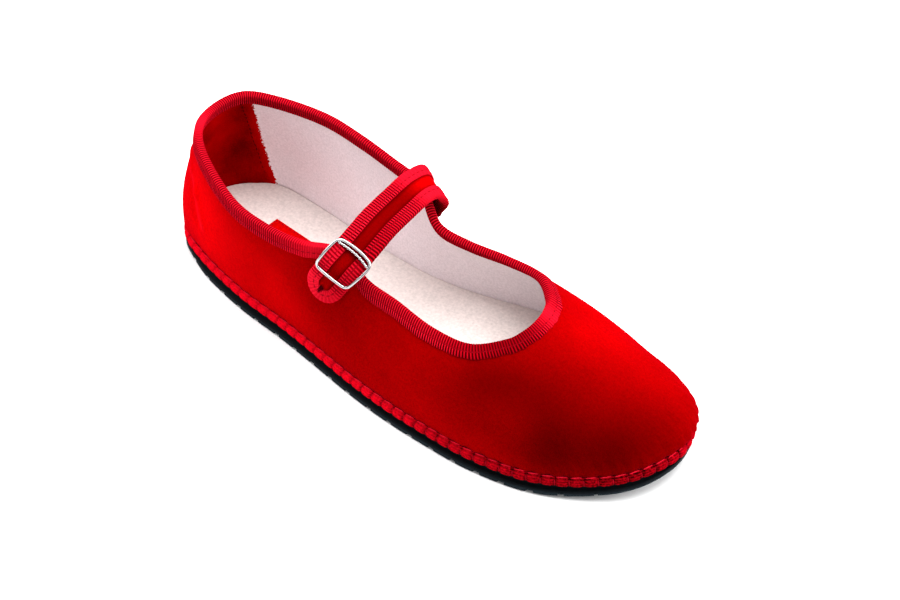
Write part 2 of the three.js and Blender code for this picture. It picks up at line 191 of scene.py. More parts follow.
# The wall's curve along each rib. Columns: rise, flare at the sole; reach, lean outer, lean inner at the collar.
WALL_CURVES = np.array([
    (0.35, 12, 0.35, 10, 10),
    (0.35, 12, 0.35, 10, 10),
    (0.35, 10, 0.35, 8, 8),
    (0.34, 6, 0.34, 6, 6),
    (0.34, 4, 0.34, 6, 6),
    (0.34, 3, 0.34, 8, 8),
    (0.34, 3, 0.34, 10, 8),
    (0.34, 4, 0.34, 14, 10),
    (0.34, 5, 0.34, 24, 18),
    (0.33, 6, 0.36, 38, 28),
    (0.29, 7, 0.38, 52, 36),
    (0.24, 9, 0.4, 62, 41),
    (0.2, 11, 0.42, 68, 48),
    (0.18, 12, 0.42, 69, 59),
    (0.18, 12, 0.42, 67, 67),
])

# Centre line of the strap from its sewn end. Columns: along, across, high, splay, dip.
STRAP_ROUTE = np.array([
    (0.422, 0.336, 0.656, -6, 22),
    (0.4275, 0.334, 0.766, -10, 22),
    (0.431, 0.328, 0.872, -18, 22),
    (0.431, 0.29, 0.951, -20, 18),
    (0.428, 0.212, 0.972, -10, 15),
    (0.431, 0.058, 0.977, -2, 14),
    (0.435, -0.093, 0.977, 2, 14),
    (0.439, -0.198, 0.963, 4, 15),
    (0.439, -0.286, 0.928, 6, 18),
    (0.4305, -0.349, 0.856, 8, 20),
    (0.4185, -0.377, 0.758, 8, 20),
    (0.4065, -0.4, 0.67, 6, 20),
    (0.3955, -0.417, 0.605, 4, 20),
])

# Soft ridges and troughs of the velvet, in the model's millimetres.
# Columns: start, end, half width, height (below zero for a trough).
FOLDS = (
    ((-110, -14, 52), (-99.5, -23, 41), 2.4, 0.8),
    ((-99.5, -23, 41), (-94.5, -26, 27), 2.4, 0.8),
    ((-104, -21, 44), (-99, -24.5, 27), 3.0, -0.6),
    ((52, -30, 36), (74, -20, 37), 9.0, -0.5),
    ((60, 24, 38), (84, 34, 22), 7.0, -0.5),
    ((-20, 31, 34), (8, 32, 20), 6.0, -0.6),
    ((-14, -37, 30), (12, -39, 20), 7.0, -0.5),
    ((34, 30, 34), (48, 38, 18), 5.0, -0.5),
    ((-104, 24, 40), (-84, 29, 22), 5.0, -0.5),
)

# Where the velvet is lighter or darker, partly from the pile's lie and partly as painted light and shade, in the
# model's millimetres. Columns: centre, radius, change.
NAP_AND_PAINTED_LIGHT = (
    ((-98, -25, 34), 26, 0.54),
    ((-86, -27, 12), 16, 0.18),
    ((-50, -33, 18), 24, 0.26),
    ((-28, -35, 32), 14, -0.1),
    ((12, -35, 36), 10, -0.06),
    ((50, -34, 34), 18, -0.12),
    ((56, -25, 38), 15, -0.08),
    ((74, -20, 36), 20, -0.12),
    ((86, -32, 20), 15, -0.18),
    ((108, -18, 20), 15, -0.13),
    ((98, -16, 26), 26, -0.14),
    ((116, 4, 23), 20, -0.14),
    ((68, 32, 30), 24, 0.2),
    ((20, 31, 24), 22, -0.12),
    ((-40, 30, 16), 18, -0.1),
    ((-66, 28, 34), 24, 0.08),
    ((-98, 26, 18), 20, -0.12),
    ((-118, 6, 40), 16, -0.1),
)

# Where the collar's ribbon is gathered and its ribs are lost. Columns: share of the way round, spread.
PLAIN_RIBBON = ((0.198, 0.026), (0.03, 0.02), (0.53, 0.028))

# Front edge of the velvet piece inside the heel. Columns: height, along.
HEEL_PIECE_EDGE = np.array([(9, -99.5), (11, -100.5), (20, -103.9), (34, -106.2), (54.5, -106.3), (64, -106.0)])

# Camera that the photograph was taken with: angles in degrees, lengths in millimetres
CAMERA_AZIMUTH = 37.9
CAMERA_ELEVATION = 44.73
CAMERA_ROLL = 1.13
CAMERA_TARGET = (5.8, 10.36, 20)
CAMERA_DISTANCE = 1087
CAMERA_LENS = 107.95
CAMERA_SENSOR = 36


# Shape of the last

def unit(vectors):
    return vectors / np.linalg.norm(vectors, axis=-1, keepdims=True)


def smooth(values, low, high):
    share = np.clip((values - low) / (high - low), 0, 1)
    return share * share * (3 - 2 * share)


def window(values, low, high, start, end):
    """Rises from 0 to 1 between low and high, and falls again between start and end."""
    return smooth(values, low, high) * (1 - smooth(values, start, end))


def bell(distance, width):
    """1 at no distance, and softly less on both sides."""
    return np.exp(-(distance / width) ** 2)


def grid(first, second):
    """A table of every pair of two rows of numbers."""
    return np.stack(np.meshgrid(first, second, indexing="ij"), -1)


def run_along(points):
    """The distance along a line of points, at each of them."""
    return np.append(0, np.cumsum(np.linalg.norm(np.diff(points, axis=0), axis=1)))


def polygon(corners, count):
    """A closed line from corner to corner, with a count of points to each side."""
    sides = zip(corners, np.roll(corners, -1, axis=0))
    return np.concatenate([np.linspace(a, b, count, endpoint=False) for a, b in sides])


def cubic(w, start, start_way, end, end_way):
    """Points at shares w of the smooth curve between two points that leaves and arrives by the given ways."""
    point = (2 * w**3 - 3 * w**2 + 1) * start + (w**3 - 2 * w**2 + w) * start_way
    return point + (3 * w**2 - 2 * w**3) * end + (w**3 - w**2) * end_way


def closed_curve(knots, u):
    """Points and slopes of the smooth closed curve through knots, at shares u of the way round."""
    place = np.mod(u, 1) * len(knots)
    k = np.floor(place).astype(int)
    w = (place - k)[..., None]
    p0, p1, p2, p3 = (knots[(k + i - 1) % len(knots)] for i in range(4))
    m1, m2 = (p2 - p0) / 2, (p3 - p1) / 2
    slope = (6 * w**2 - 6 * w) * (p1 - p2) + (3 * w**2 - 4 * w + 1) * m1 + (3 * w**2 - 2 * w) * m2
    return cubic(w, p1, m1, p2, m2), slope


def knots_round(table, outer, inner):
    """Knots from columns of a table: from the heel along the outer side to the toe, and back along the inner."""
    return np.concatenate([table[:, outer], table[-2:0:-1, inner]])


SOLE = knots_round(RIBS, (0, 1, 1), (0, 2, 2)) * (LENGTH, BALL_WIDTH, 0)
COLLAR = knots_round(RIBS, (3, 4, 6), (3, 5, 7)) * (LENGTH, BALL_WIDTH, HEEL_HEIGHT)
FOOT_CURVE = knots_round(WALL_CURVES, (0, 1), (0, 1))
TOP_CURVE = knots_round(WALL_CURVES, (2, 3), (2, 4))


def level_out(slope):
    return unit(np.stack([slope[..., 1], -slope[..., 0], 0 * slope[..., 0]], -1))


def sole_point(u, grow, height):
    """The sole's outline moved out by grow, at a height above the sole's foot, and the way out from it."""
    point, slope = closed_curve(SOLE, u)
    out = level_out(slope)
    point = point + np.asarray(grow)[..., None] * out
    share = np.maximum(0, (point[..., 0] - SPRING_START) / (LENGTH - SPRING_START))
    point[..., 2] = height + TOE_SPRING * share**2
    return point, out


RING = sole_point(np.arange(112) / 112, 0.0, 0.0)[0]
MIDDLE = np.append((RING.min(0) + RING.max(0))[:2] / 2, 0)


def even_round(count, knots=SOLE):
    """Shares u that lie evenly spaced along a closed curve, and the curve's length."""
    dense = np.linspace(0, 1, 4001)
    run = run_along(closed_curve(knots, dense)[0])
    return np.interp(np.arange(count) / count * run[-1], run, dense), run[-1]


GIRTH = even_round(1)[1]


def wall_point(u, t):
    """The upper's outer face: u runs round the shoe, t from the sole to the collar."""
    u, t = np.broadcast_arrays(u, t)
    foot, out = sole_point(u, -LEDGE, FEATHER)
    collar, slope = closed_curve(COLLAR, u)
    length = np.linalg.norm(collar - foot, axis=-1)
    rise, flare = np.moveaxis(closed_curve(FOOT_CURVE, u)[0], -1, 0)
    reach, lean = np.moveaxis(closed_curve(TOP_CURVE, u)[0], -1, 0)
    up = np.array([0, 0, 1.0])

    def leaning(sign, away, degrees):
        angle = np.radians(degrees)[..., None]
        return sign * np.cos(angle) * up + np.sin(angle) * away

    start = foot + (rise * length)[..., None] * leaning(1, out, flare)
    end = collar + (reach * length)[..., None] * leaning(-1, level_out(slope), lean)
    t = t[..., None]
    return (1 - t) ** 3 * foot + 3 * (1 - t) ** 2 * t * start + 3 * (1 - t) * t**2 * end + t**3 * collar


def wall_normal(u, t):
    step = 0.002
    round_way = wall_point(u + step, t) - wall_point(u - step, t)
    up_way = wall_point(u, np.minimum(1, t + step)) - wall_point(u, np.maximum(0, t - step))
    return unit(np.cross(round_way, up_way))


def inside(u, t, depth):
    """A point a depth inwards from the upper's outer face."""
    return wall_point(u, t) - np.asarray(depth)[..., None] * wall_normal(u, t)


def below_collar(u, distances):
    """For each u, the t at which the wall lies the given distances below the collar."""
    steps = np.linspace(1, 0, 201)
    points = wall_point(u[:, None], steps[None, :])
    runs = np.cumsum(np.linalg.norm(np.diff(points, axis=1), axis=2), axis=1)
    rows = np.broadcast_to(distances, (len(u), np.shape(distances)[-1]))
    return np.array([np.interp(row, np.append(0, run), steps) for row, run in zip(rows, runs)])


# Shape of the strap

def strap_samples():
    """Points, ways along, and turns of the strap's centre line, with the distance along it."""
    knots = STRAP_ROUTE[:, :3] * (LENGTH, BALL_WIDTH, INSTEP_HEIGHT)
    ends = np.concatenate([[2 * knots[0] - knots[1]], knots, [2 * knots[-1] - knots[-2]]])
    spans = np.linalg.norm(np.diff(ends, axis=0), axis=1) ** 0.5
    w = np.linspace(0, 1, 200, endpoint=False)[:, None]
    points, turns = [], []
    for k in range(len(knots) - 1):
        p0, p1, p2, p3 = ends[k:k + 4]
        d0, d1, d2 = spans[k:k + 3]
        m1 = d1 * ((p1 - p0) / d0 - (p2 - p0) / (d0 + d1) + (p2 - p1) / d1)
        m2 = d1 * ((p2 - p1) / d1 - (p3 - p1) / (d1 + d2) + (p3 - p2) / d2)
        points.append(cubic(w, p1, m1, p2, m2))
        turns.append((1 - w) * STRAP_ROUTE[k, 3:] + w * STRAP_ROUTE[k + 1, 3:])
    points = np.concatenate(points + [knots[-1:]])
    turns = np.radians(np.concatenate(turns + [STRAP_ROUTE[-1:, 3:]]))
    run = run_along(points)
    return run, points, unit(np.gradient(points, run, axis=0)), turns


STRAP_RUN, STRAP_LINE, STRAP_WAY, STRAP_TURNS = strap_samples()
STRAP_LENGTH = STRAP_RUN[-1]


def at_run(along, table):
    """Rows of one of the strap's tables, at distances along it."""
    return np.stack([np.interp(along, STRAP_RUN, column) for column in table.T], -1)


def strap_frame(along):
    """The strap's middle, its way towards the toe and its way out, at distances along it."""
    way = unit(at_run(along, STRAP_WAY))
    splay, dip = np.moveaxis(at_run(along, STRAP_TURNS), -1, 0)
    ahead = np.stack([np.cos(splay) * np.cos(dip), np.sin(splay) * np.cos(dip), -np.sin(dip)], -1)
    ahead = unit(ahead - way * np.sum(ahead * way, -1, keepdims=True))
    return at_run(along, STRAP_LINE), ahead, np.cross(way, ahead)


def strap_point(along, across, height):
    """Points at distances along the strap, across it towards the toe, and over its middle."""
    along, across, height = np.broadcast_arrays(along, across, height)
    middle, ahead, out = strap_frame(along)
    drawn_in = END_DRAWN_IN * (1 - smooth(along, 0.0, END_LENGTH)) * (0.5 + across / STRAP_WIDTH)
    return middle + (across - drawn_in)[..., None] * ahead + height[..., None] * out


def on_strap(along, across, height):
    """Points of the strap, and the way out at each of them."""
    return strap_point(along, across, height), strap_frame(along)[2]


def painted_shade_under_bar(along):
    """How close distances along the strap are to the buckle's bar, where painted shade goes."""
    return bell(along - BUCKLE_START - BAR_SHADE_AT, BAR_SHADE_WIDTH)


def strap_outline(inset, steps, tip_steps):
    """The strap's outline drawn in by inset, from the sewn end round the tip and back: along, across."""
    radius = STRAP_WIDTH / 2 - inset
    centre = STRAP_LENGTH - STRAP_WIDTH / 2
    run = np.linspace(0, centre, steps, endpoint=False)
    angle = np.linspace(0, math.pi, tip_steps)
    along = np.concatenate([run, centre + radius * np.sin(angle), run[::-1]])
    across = np.concatenate([0 * run - radius, -radius * np.cos(angle), 0 * run + radius])
    return along, across


# Meshes

def link_object(name, data):
    piece = bpy.data.objects.new(name, data)
    bpy.context.scene.collection.objects.link(piece)
    return piece


def link_mesh(name, points, faces, edges=()):
    """A piece through points in millimetres from the heel, moved to the model's origin."""
    mesh = bpy.data.meshes.new(name)
    mesh.from_pydata((np.reshape(points, (-1, 3)) - MIDDLE) * MM, edges, faces)
    return link_object(name, mesh)


def volume_of(points, faces):
    """Six times the volume inside the faces, below zero where they face inwards."""
    corners = [points[faces[:, i]] for i in range(faces.shape[1])]
    fans = [np.cross(corners[i], corners[i + 1]) for i in range(1, len(corners) - 1)]
    return sum(np.sum(corners[0] * fan) for fan in fans)


def loft(name, points, uv, ring, sharp=180.0):
    """A closed piece through sections of equally many points: a ring of sections, or a run with closed ends.

    uv has one more entry than points has wherever the surface closes on itself. A plain piece has none.
    """
    rows, size = points.shape[:2]
    if uv is None:
        uv = np.zeros((rows, size + 1, 2))
    i, j = np.meshgrid(np.arange(rows if ring else rows - 1), np.arange(size), indexing="ij")
    corners = [(i, j), (i + 1, j), (i + 1, j + 1), (i, j + 1)]
    faces = np.stack([(a % rows) * size + b % size for a, b in corners], -1).reshape(-1, 4)
    places = np.stack([uv[a, b] for a, b in corners], -2).reshape(-1, 4, 2)
    flat = points.reshape(-1, 3)
    inward = volume_of(flat - flat.mean(0), faces) < 0
    faces, places = faces.tolist(), places.reshape(-1, 2).tolist()
    if not ring:
        last = (rows - 1) * size
        for k in range((size - 1) // 2):
            loop = list(dict.fromkeys([k, k + 1, size - 2 - k, size - 1 - k]))
            faces.append(loop)
            places.extend(uv[0, n] for n in loop)
            faces.append([last + n for n in reversed(loop)])
            places.extend(uv[rows - 1, n] for n in reversed(loop))
    piece = link_mesh(name, points, faces)
    mesh = piece.data
    mesh.uv_layers.new(name="Surface").uv.foreach_set("vector", np.array(places, np.float32).ravel())
    if inward:
        mesh.flip_normals()
    mesh.shade_smooth()
    if sharp < 180:
        mesh.set_sharp_from_angle(angle=math.radians(sharp))
    return piece


def rib_relief(columns):
    """How far a ribbon's ribs stand above or below its face, at each column of its mesh."""
    return RIB_HEIGHT / 2 * np.sin(2 * math.pi * np.arange(columns) / RIB_STEPS)


def mark(piece, name, values, kind="FLOAT"):
    """Keeps a number, or a vector, at each point of a piece."""
    attribute = piece.data.attributes.new(name, kind, "POINT")
    field = "value" if kind == "FLOAT" else "vector"
    attribute.data.foreach_set(field, np.asarray(values, np.float32).ravel())


def path(name, points, outs, closed):
    """A line of points that keeps the way out at each of them."""
    count = len(points)
    edges = [(k, (k + 1) % count) for k in range(count if closed else count - 1)]
    piece = link_mesh(name, points, [], edges)
    mark(piece, "out", outs, "FLOAT_VECTOR")
    return piece


def nap_of(points):
    """How light the velvet is at points: the pile's lie together with painted light and shade, and painted light
    on the folds.
    """
    place = points - MIDDLE
    # Ridges are painted lighter and troughs darker, as painted light and shade.
    nap = PILE_TONE + FOLD_PAINTED_LIGHT * fold_height(points)
    for centre, radius, change in NAP_AND_PAINTED_LIGHT:
        nap += change * np.exp(-np.sum((place - centre) ** 2, -1) / radius**2)
    return nap


def fold_distance(place, start, end):
    """How far places are from the line of a fold."""
    way = np.subtract(end, start).astype(float)
    share = np.clip(((place - start) @ way) / (way @ way), 0, 1)
    return np.linalg.norm(place - start - share[..., None] * way, axis=-1)


def fold_height(points):
    """How far the soft ridges and troughs move points of the velvet outwards."""
    place = points - MIDDLE
    return sum(rise * bell(fold_distance(place, start, end), width) for start, end, width, rise in FOLDS)


def hang(u):
    """How far the velvet hangs over the sole's edge: at the back of the heel and on the toe's inner side."""
    u = np.mod(u, 1)
    heel = 1 - smooth(np.minimum(u, 1 - u), *HEEL_HANG)
    return TOE_OVERHANG * window(u, *TOE_HANG) + HEEL_OVERHANG * heel


def crest_highlight_of(points):
    """How close points of the velvet lie to the crest of the heel's ridge, where a painted highlight goes."""
    place = points - MIDDLE
    crests = (bell(fold_distance(place, start, end), CREST_HIGHLIGHT_WIDTH) for start, end, _, _ in FOLDS[:2])
    return sum(crests).clip(0, 1)


def finish_piece(piece, slot, *nodes):
    """Gives a piece its body and hides the solids that it stands for; the slot is not used."""
    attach(piece, "root")
    if nodes:
        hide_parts(*nodes)


# Nodes

def feed(tree, socket, value):
    """Links a socket to a value or another socket, or sets it."""
    value = getattr(value, "socket", value)
    if isinstance(value, bpy.types.NodeSocket):
        tree.links.new(value, socket)
    else:
        socket.default_value = value


def add_node(tree, kind, settings, inputs, output):
    """Adds a node, with its settings before the values or links of its sockets, and returns its output."""
    node = tree.nodes.new(kind)
    for key, value in (settings or {}).items():
        setattr(node, key, value)
    for key, value in (inputs or {}).items():
        feed(tree, node.inputs[key], value)
    return node.outputs[output]


class Tree:
    """A geometry node tree with named inputs."""

    def __init__(self, name, inputs):
        self.group = bpy.data.node_groups.new(name, "GeometryNodeTree")
        self.names = {}
        for label, kind in inputs.items():
            socket = self.group.interface.new_socket(label, in_out="INPUT", socket_type="NodeSocket" + kind)
            self.names[label] = socket.identifier
        self.group.interface.new_socket("Geometry", in_out="OUTPUT", socket_type="NodeSocketGeometry")
        self.inputs = self.group.nodes.new("NodeGroupInput").outputs
        self.output = self.group.nodes.new("NodeGroupOutput").inputs[0]

    def node(self, kind, settings=None, inputs=None, output=0):
        return add_node(self.group, kind, settings, inputs, output)

    def vector(self, name):
        """A vector that is kept at each point."""
        return self.node("GeometryNodeInputNamedAttribute", {"data_type": "FLOAT_VECTOR"}, {"Name": name})

    def copies(self, points, instance, rotation):
        inputs = {"Points": points, "Instance": instance, "Rotation": rotation}
        placed = self.node("GeometryNodeInstanceOnPoints", {}, inputs)
        return self.node("GeometryNodeRealizeInstances", {}, {"Geometry": placed})

    def close(self, geometry, material):
        geometry = self.node("GeometryNodeSetShadeSmooth", {}, {"Geometry": geometry})
        geometry = self.node("GeometryNodeSetMaterial", {}, {"Geometry": geometry, "Material": material})
        self.group.links.new(geometry, self.output)

    def run(self, piece, values):
        """Applies the tree to a piece and leaves a plain mesh."""
        modifier = piece.modifiers.new(self.group.name, "NODES")
        modifier.node_group = self.group
        for label, value in values.items():
            modifier[self.names[label]] = value
        graph = bpy.context.evaluated_depsgraph_get()
        mesh = bpy.data.meshes.new_from_object(piece.evaluated_get(graph))
        piece.modifiers.clear()
        piece.data = mesh


def thread_tree():
    """Short rounded lengths of thread, or teeth, spaced along a path and lying on its surface."""
    tree = Tree("Threads along a path", {
        "Path": "Geometry", "Count": "Int", "Length": "Float", "Thickness": "Float", "Turn": "Float",
        "Material": "Material",
    })
    inputs = tree.inputs
    curve = tree.node("GeometryNodeMeshToCurve", {}, {"Mesh": inputs["Path"]})
    points = tree.node("GeometryNodeResampleCurve", {}, {"Curve": curve, "Count": inputs["Count"]})
    align, tangent = "FunctionNodeAlignRotationToVector", tree.node("GeometryNodeInputTangent")
    upright = tree.node(align, {"axis": "Z"}, {"Vector": tree.vector("out")})
    lying = tree.node(align, {"axis": "X", "pivot_axis": "Z"}, {"Rotation": upright, "Vector": tangent})
    turn = tree.node("FunctionNodeAxisAngleToRotation", {}, {"Axis": (0, 0, 1), "Angle": inputs["Turn"]})
    turned = tree.node(
        "FunctionNodeRotateRotation", {"rotation_space": "LOCAL"}, {"Rotation": lying, "Rotate By": turn},
    )
    ball = tree.node("GeometryNodeMeshUVSphere", {}, {"Segments": 8, "Rings": 6, "Radius": 0.5})
    thickness = inputs["Thickness"]
    size = tree.node("ShaderNodeCombineXYZ", {}, {"X": inputs["Length"], "Y": thickness, "Z": thickness})
    thread = tree.node("GeometryNodeTransform", {}, {"Geometry": ball, "Scale": size})
    tree.close(tree.copies(points, thread, turned), inputs["Material"])
    return tree


def tread_tree():
    """Notches cut across the edge of the sole at marked places."""
    tree = Tree("Tread notches", {
        "Sole": "Geometry", "Places": "Object", "Notch": "Vector", "Material": "Material",
    })
    inputs = tree.inputs
    places = tree.node("GeometryNodeObjectInfo", {}, {"Object": inputs["Places"]}, "Geometry")
    rotation = tree.node("FunctionNodeEulerToRotation", {}, {"Euler": tree.vector("turn")})
    box = tree.node("GeometryNodeMeshCube", {}, {"Size": inputs["Notch"]})
    cut = tree.node(
        "GeometryNodeMeshBoolean", {"operation": "DIFFERENCE", "solver": "EXACT"},
        {"Mesh 1": inputs["Sole"], "Mesh 2": tree.copies(places, box, rotation)},
    )
    tree.close(tree.node("GeometryNodeRealizeInstances", {}, {"Geometry": cut}), inputs["Material"])
    return tree


# Finishes

class Value:
    """A shader value. Arithmetic on it adds Math nodes."""

    def __init__(self, finish, socket):
        self.finish = finish
        self.socket = socket

    def math(self, operation, *values, clamp=False):
        settings = {"operation": operation, "use_clamp": clamp}
        return self.finish.node("ShaderNodeMath", settings, dict(enumerate(values)))

    def __add__(self, other):
        return self.math("ADD", self, other)

    def __sub__(self, other):
        return self.math("SUBTRACT", self, other)

    def __rsub__(self, other):
        return self.math("SUBTRACT", other, self)

    def __mul__(self, other):
        return self.math("MULTIPLY", self, other)

    def __pow__(self, other):
        return self.math("POWER", self, other)

    __radd__ = __add__
    __rmul__ = __mul__

    def clamp(self):
        return self.math("ADD", self, 0.0, clamp=True)

    def wave(self, length):
        """A wave from 0 to 1 along this value."""
        return self.math("SINE", self * (2 * math.pi / length)) * 0.5 + 0.5


class Finish:
    """A material with the nodes that feed its shader."""

    def __init__(self, name, **constants):
        self.material = bpy.data.materials.new(name)
        self.material.use_nodes = True
        self.tree = self.material.node_tree
        self.shader = self.tree.nodes["Principled BSDF"]
        for label, value in constants.items():
            self.shader.inputs[label.replace("_", " ").title().replace("Ior", "IOR")].default_value = value

    def node(self, kind, settings=None, inputs=None, output=0):
        return Value(self, add_node(self.tree, kind, settings, inputs, output))

    def noise(self, scale, detail=2.0, stretch=(1, 1, 1)):
        place = self.node("ShaderNodeTexCoord", {}, {}, "Object")
        if stretch != (1, 1, 1):
            place = self.node("ShaderNodeMapping", {}, {"Vector": place, "Scale": stretch})
        return self.node("ShaderNodeTexNoise", {}, {"Vector": place, "Scale": scale, "Detail": detail})

    def surface(self):
        """The two coordinates of the piece's own surface map."""
        place = self.node("ShaderNodeUVMap", {"uv_map": "Surface"})
        return (self.node("ShaderNodeSeparateXYZ", {}, {"Vector": place}, axis) for axis in ("X", "Y"))

    def marked(self, name):
        return self.node("ShaderNodeAttribute", {"attribute_name": name}, {}, "Fac")

    def mix(self, share, first, second):
        return self.node("ShaderNodeMix", {"data_type": "RGBA"}, {0: share, 6: first, 7: second}, 2)

    def paint(self, colour, roughness, relief, depth, strength=1.0):
        bump = self.node("ShaderNodeBump", {}, {"Strength": strength, "Distance": depth * MM, "Height": relief})
        for label, value in {"Base Color": colour, "Roughness": roughness, "Normal": bump}.items():
            feed(self.tree, self.shader.inputs[label], value)
        return self.material


def shade(colour, share):
    """A colour at a share of its strength, darker or lighter."""
    return (*(channel * share for channel in colour[:3]), 1.0)


def velvet_finish(colours):
    finish = Finish(
        "Red velvet", specular_ior_level=0.0, sheen_weight=0.3, sheen_roughness=0.35,
        sheen_tint=(1.0, 0.006, 0.03, 1.0),
    )
    clouds = finish.noise(32.0, 4.0)
    pile = finish.noise(900.0, 3.0)
    fibre = finish.noise(2600.0, 1.0)
    around, rise = finish.surface()
    lanes = finish.node("ShaderNodeCombineXYZ", {}, {"X": around * 1100.0, "Y": rise * 9.0})
    streaks = finish.node("ShaderNodeTexNoise", {}, {"Vector": lanes, "Scale": 1.0, "Detail": 2.0})
    grain = (pile - 0.5) * 0.6 + (fibre - 0.5) * 0.4 + (streaks - 0.5) * finish.marked("brush")
    # The marked nap carries the pile's lie together with painted light and shade.
    nap = finish.marked("nap") * (clouds * 0.7 + 0.65 + grain) + grain * 0.03
    colour = finish.mix(nap.clamp(), tuple(colours.velvet_dark), tuple(colours.velvet_light))
    # Painted highlight along the heel ridge's crest.
    colour = finish.mix(finish.marked("crest") * 0.9, colour, tuple(colours.rib_highlight))
    return finish.paint(colour, 0.85 + pile * 0.1, pile * 0.5 + fibre * 0.5, 0.3, 0.6)


def lining_finish(colours):
    """Pale cotton, with a piece of the velvet sewn in at the heel and cut ragged along its edge."""
    finish = Finish("Cotton lining", specular_ior_level=0.0)
    ragged = finish.noise(1500.0, 3.0)
    weave = finish.noise(1200.0, 3.0)
    clouds = finish.noise(45.0, 3.0)
    edge = finish.marked("heel_piece")
    piece = ((edge + (ragged - 0.5) * 3.2) * 4.0 + 0.5).clamp()
    tone = (weave * 1.5 + clouds * 0.3 - 0.4).clamp()
    cotton = finish.mix(tone, shade(colours.lining, 0.74), tuple(colours.lining))
    rim = (1.3 - edge * 0.3).clamp()
    tone = (clouds * 1.6 - 0.6 + rim * 0.45 + (ragged - 0.5) * 0.5).clamp()
    velvet = finish.mix(tone, shade(colours.velvet_light, 0.19), shade(colours.velvet_light, 0.85))
    colour = finish.mix(piece, cotton, velvet)
    return finish.paint(colour, 0.9 + weave * 0.08, weave * (1 - 0.4 * piece) + piece * 0.6, 0.3, 0.45)


def ribbon_finish(sizes, colours):
    """Ribbed ribbon: two rows of ribs with a seam between them, and plain patches. Grooves are painted in shade
    and crests with a painted highlight, and a marked value adds painted shade or light.
    """
    finish = Finish("Ribbed ribbon", specular_ior_level=0.0)
    along, _ = finish.surface()
    grain = finish.noise(2600.0, 2.0)
    wander = finish.noise(160.0, 1.0)
    ribs = (along + (wander - 0.5) * (0.12 * sizes.rib_pitch)).wave(sizes.rib_pitch) ** 1.5
    plain = finish.marked("plain")
    rows = finish.marked("ribbed") * (1 - plain)
    height = ribs * rows + (1 - rows) * 0.45
    # The marked dim value darkens the ribbon as painted shade, and lightens it as painted light where it is below
    # zero.
    tone = (height + (grain - 0.5) * 0.35 + 0.32 * plain).clamp() * (1 - 0.6 * finish.marked("dim"))
    # Painted shade in the grooves, painted highlight on the crests.
    low = finish.mix((tone * 2.0).clamp(), shade(colours.ribbon, 0.13), tuple(colours.ribbon))
    colour = finish.mix((tone * 2.0 - 1.0).clamp(), low, tuple(colours.rib_highlight))
    return finish.paint(colour, 0.62 + grain * 0.2, height + grain * 0.2, 0.25, 0.85)


def edge_cloth_finish(colours):
    """The cloth wrapped round the midsole: a coarse ribbed weave, with painted light and shade: lighter where it
    swells out, towards the heel and on the toe's inner side, and painted shade in the gaps at the ties.
    """
    finish = Finish("Midsole cloth", specular_ior_level=0.0)
    _, across = finish.surface()
    grain = finish.noise(1100.0, 3.0)
    threads = (across + (grain - 0.5) * 0.0018).wave(0.0019)
    # The marked puff is painted light and shade.
    puff = finish.marked("puff")
    tone = (puff * 0.6 - 0.12 + threads * 0.2 + (grain - 0.5) * 1.1).clamp()
    colour = finish.mix(tone, shade(colours.ribbon, 0.06), shade(colours.ribbon, 2.1))
    return finish.paint(colour, 0.75 + grain * 0.2, threads * 0.5 + grain, 0.3, 0.8)


def insole_finish(colours):
    finish = Finish("Brushed insole", specular_ior_level=0.0)
    grain = finish.noise(950.0, 4.0)
    clouds = finish.noise(35.0, 2.0)
    tone = (grain * 1.7 + clouds * 0.3 - 0.5).clamp()
    colour = finish.mix(tone, shade(colours.insole, 0.72), tuple(colours.insole))
    return finish.paint(colour, 0.88 + grain * 0.1, grain, 0.3, 0.4)


def cloth_finish(name, colour, weave_size):
    """Plain cloth or thread with a fine twist."""
    finish = Finish(name, specular_ior_level=0.0)
    grain = finish.noise(1.0 / (weave_size * MM), 2.0)
    tone = (grain * 1.4 - 0.2).clamp()
    colour = finish.mix(tone, shade(colour, 0.6), tuple(colour))
    return finish.paint(colour, 0.7 + grain * 0.2, grain, 0.2, 0.6)


def rubber_finish(colours):
    finish = Finish("Moulded rubber", specular_ior_level=0.03)
    grain = finish.noise(900.0, 3.0)
    dust = finish.noise(60.0, 4.0)
    place = finish.node("ShaderNodeTexCoord", {}, {}, "Object")
    ahead, high = (finish.node("ShaderNodeSeparateXYZ", {}, {"Vector": place}, axis) for axis in ("X", "Z"))
    start, reach = (SPRING_START - MIDDLE[0]) * MM, (LENGTH - SPRING_START) * MM
    spring = ((ahead - start) * (1 / reach)).clamp() ** 2 * (TOE_SPRING * MM)
    # Painted shade on the upper band of the rubber's edge, under the midsole.
    upper = ((high - spring) * 900.0 - 1.4).clamp()
    colour = finish.mix((dust * 1.5 - 0.5).clamp(), tuple(colours.rubber), shade(colours.rubber, 1.8))
    colour = finish.mix(upper, colour, shade(colours.rubber, 0.25))
    return finish.paint(colour, 0.55 + dust * 0.25, grain, 0.12, 0.5)


def nickel_finish(colours):
    finish = Finish("Nickel plate", metallic=1.0)
    wear = finish.noise(500.0, 3.0, (1, 1, 4))
    colour = finish.mix((wear * 1.3 - 0.2).clamp(), shade(colours.nickel, 0.7), tuple(colours.nickel))
    return finish.paint(colour, 0.12 + wear * 0.12, wear, 0.04, 0.3)


def floor_finish():
    finish = Finish("Pale floor", specular_ior_level=0.1)
    grain = finish.noise(8.0, 2.0)
    colour = finish.mix(grain, (0.9, 0.9, 0.9, 1.0), (0.93, 0.93, 0.93, 1.0))
    return finish.paint(colour, 0.7, grain, 0.02, 0.1)


def spaced(points, closed, pitch):
    """How many lengths of a pitch fit along a line of points, in millimetres."""
    ends = np.concatenate([points, points[:1]]) if closed else points
    return max(2, round(run_along(ends)[-1] / pitch))


# Settings

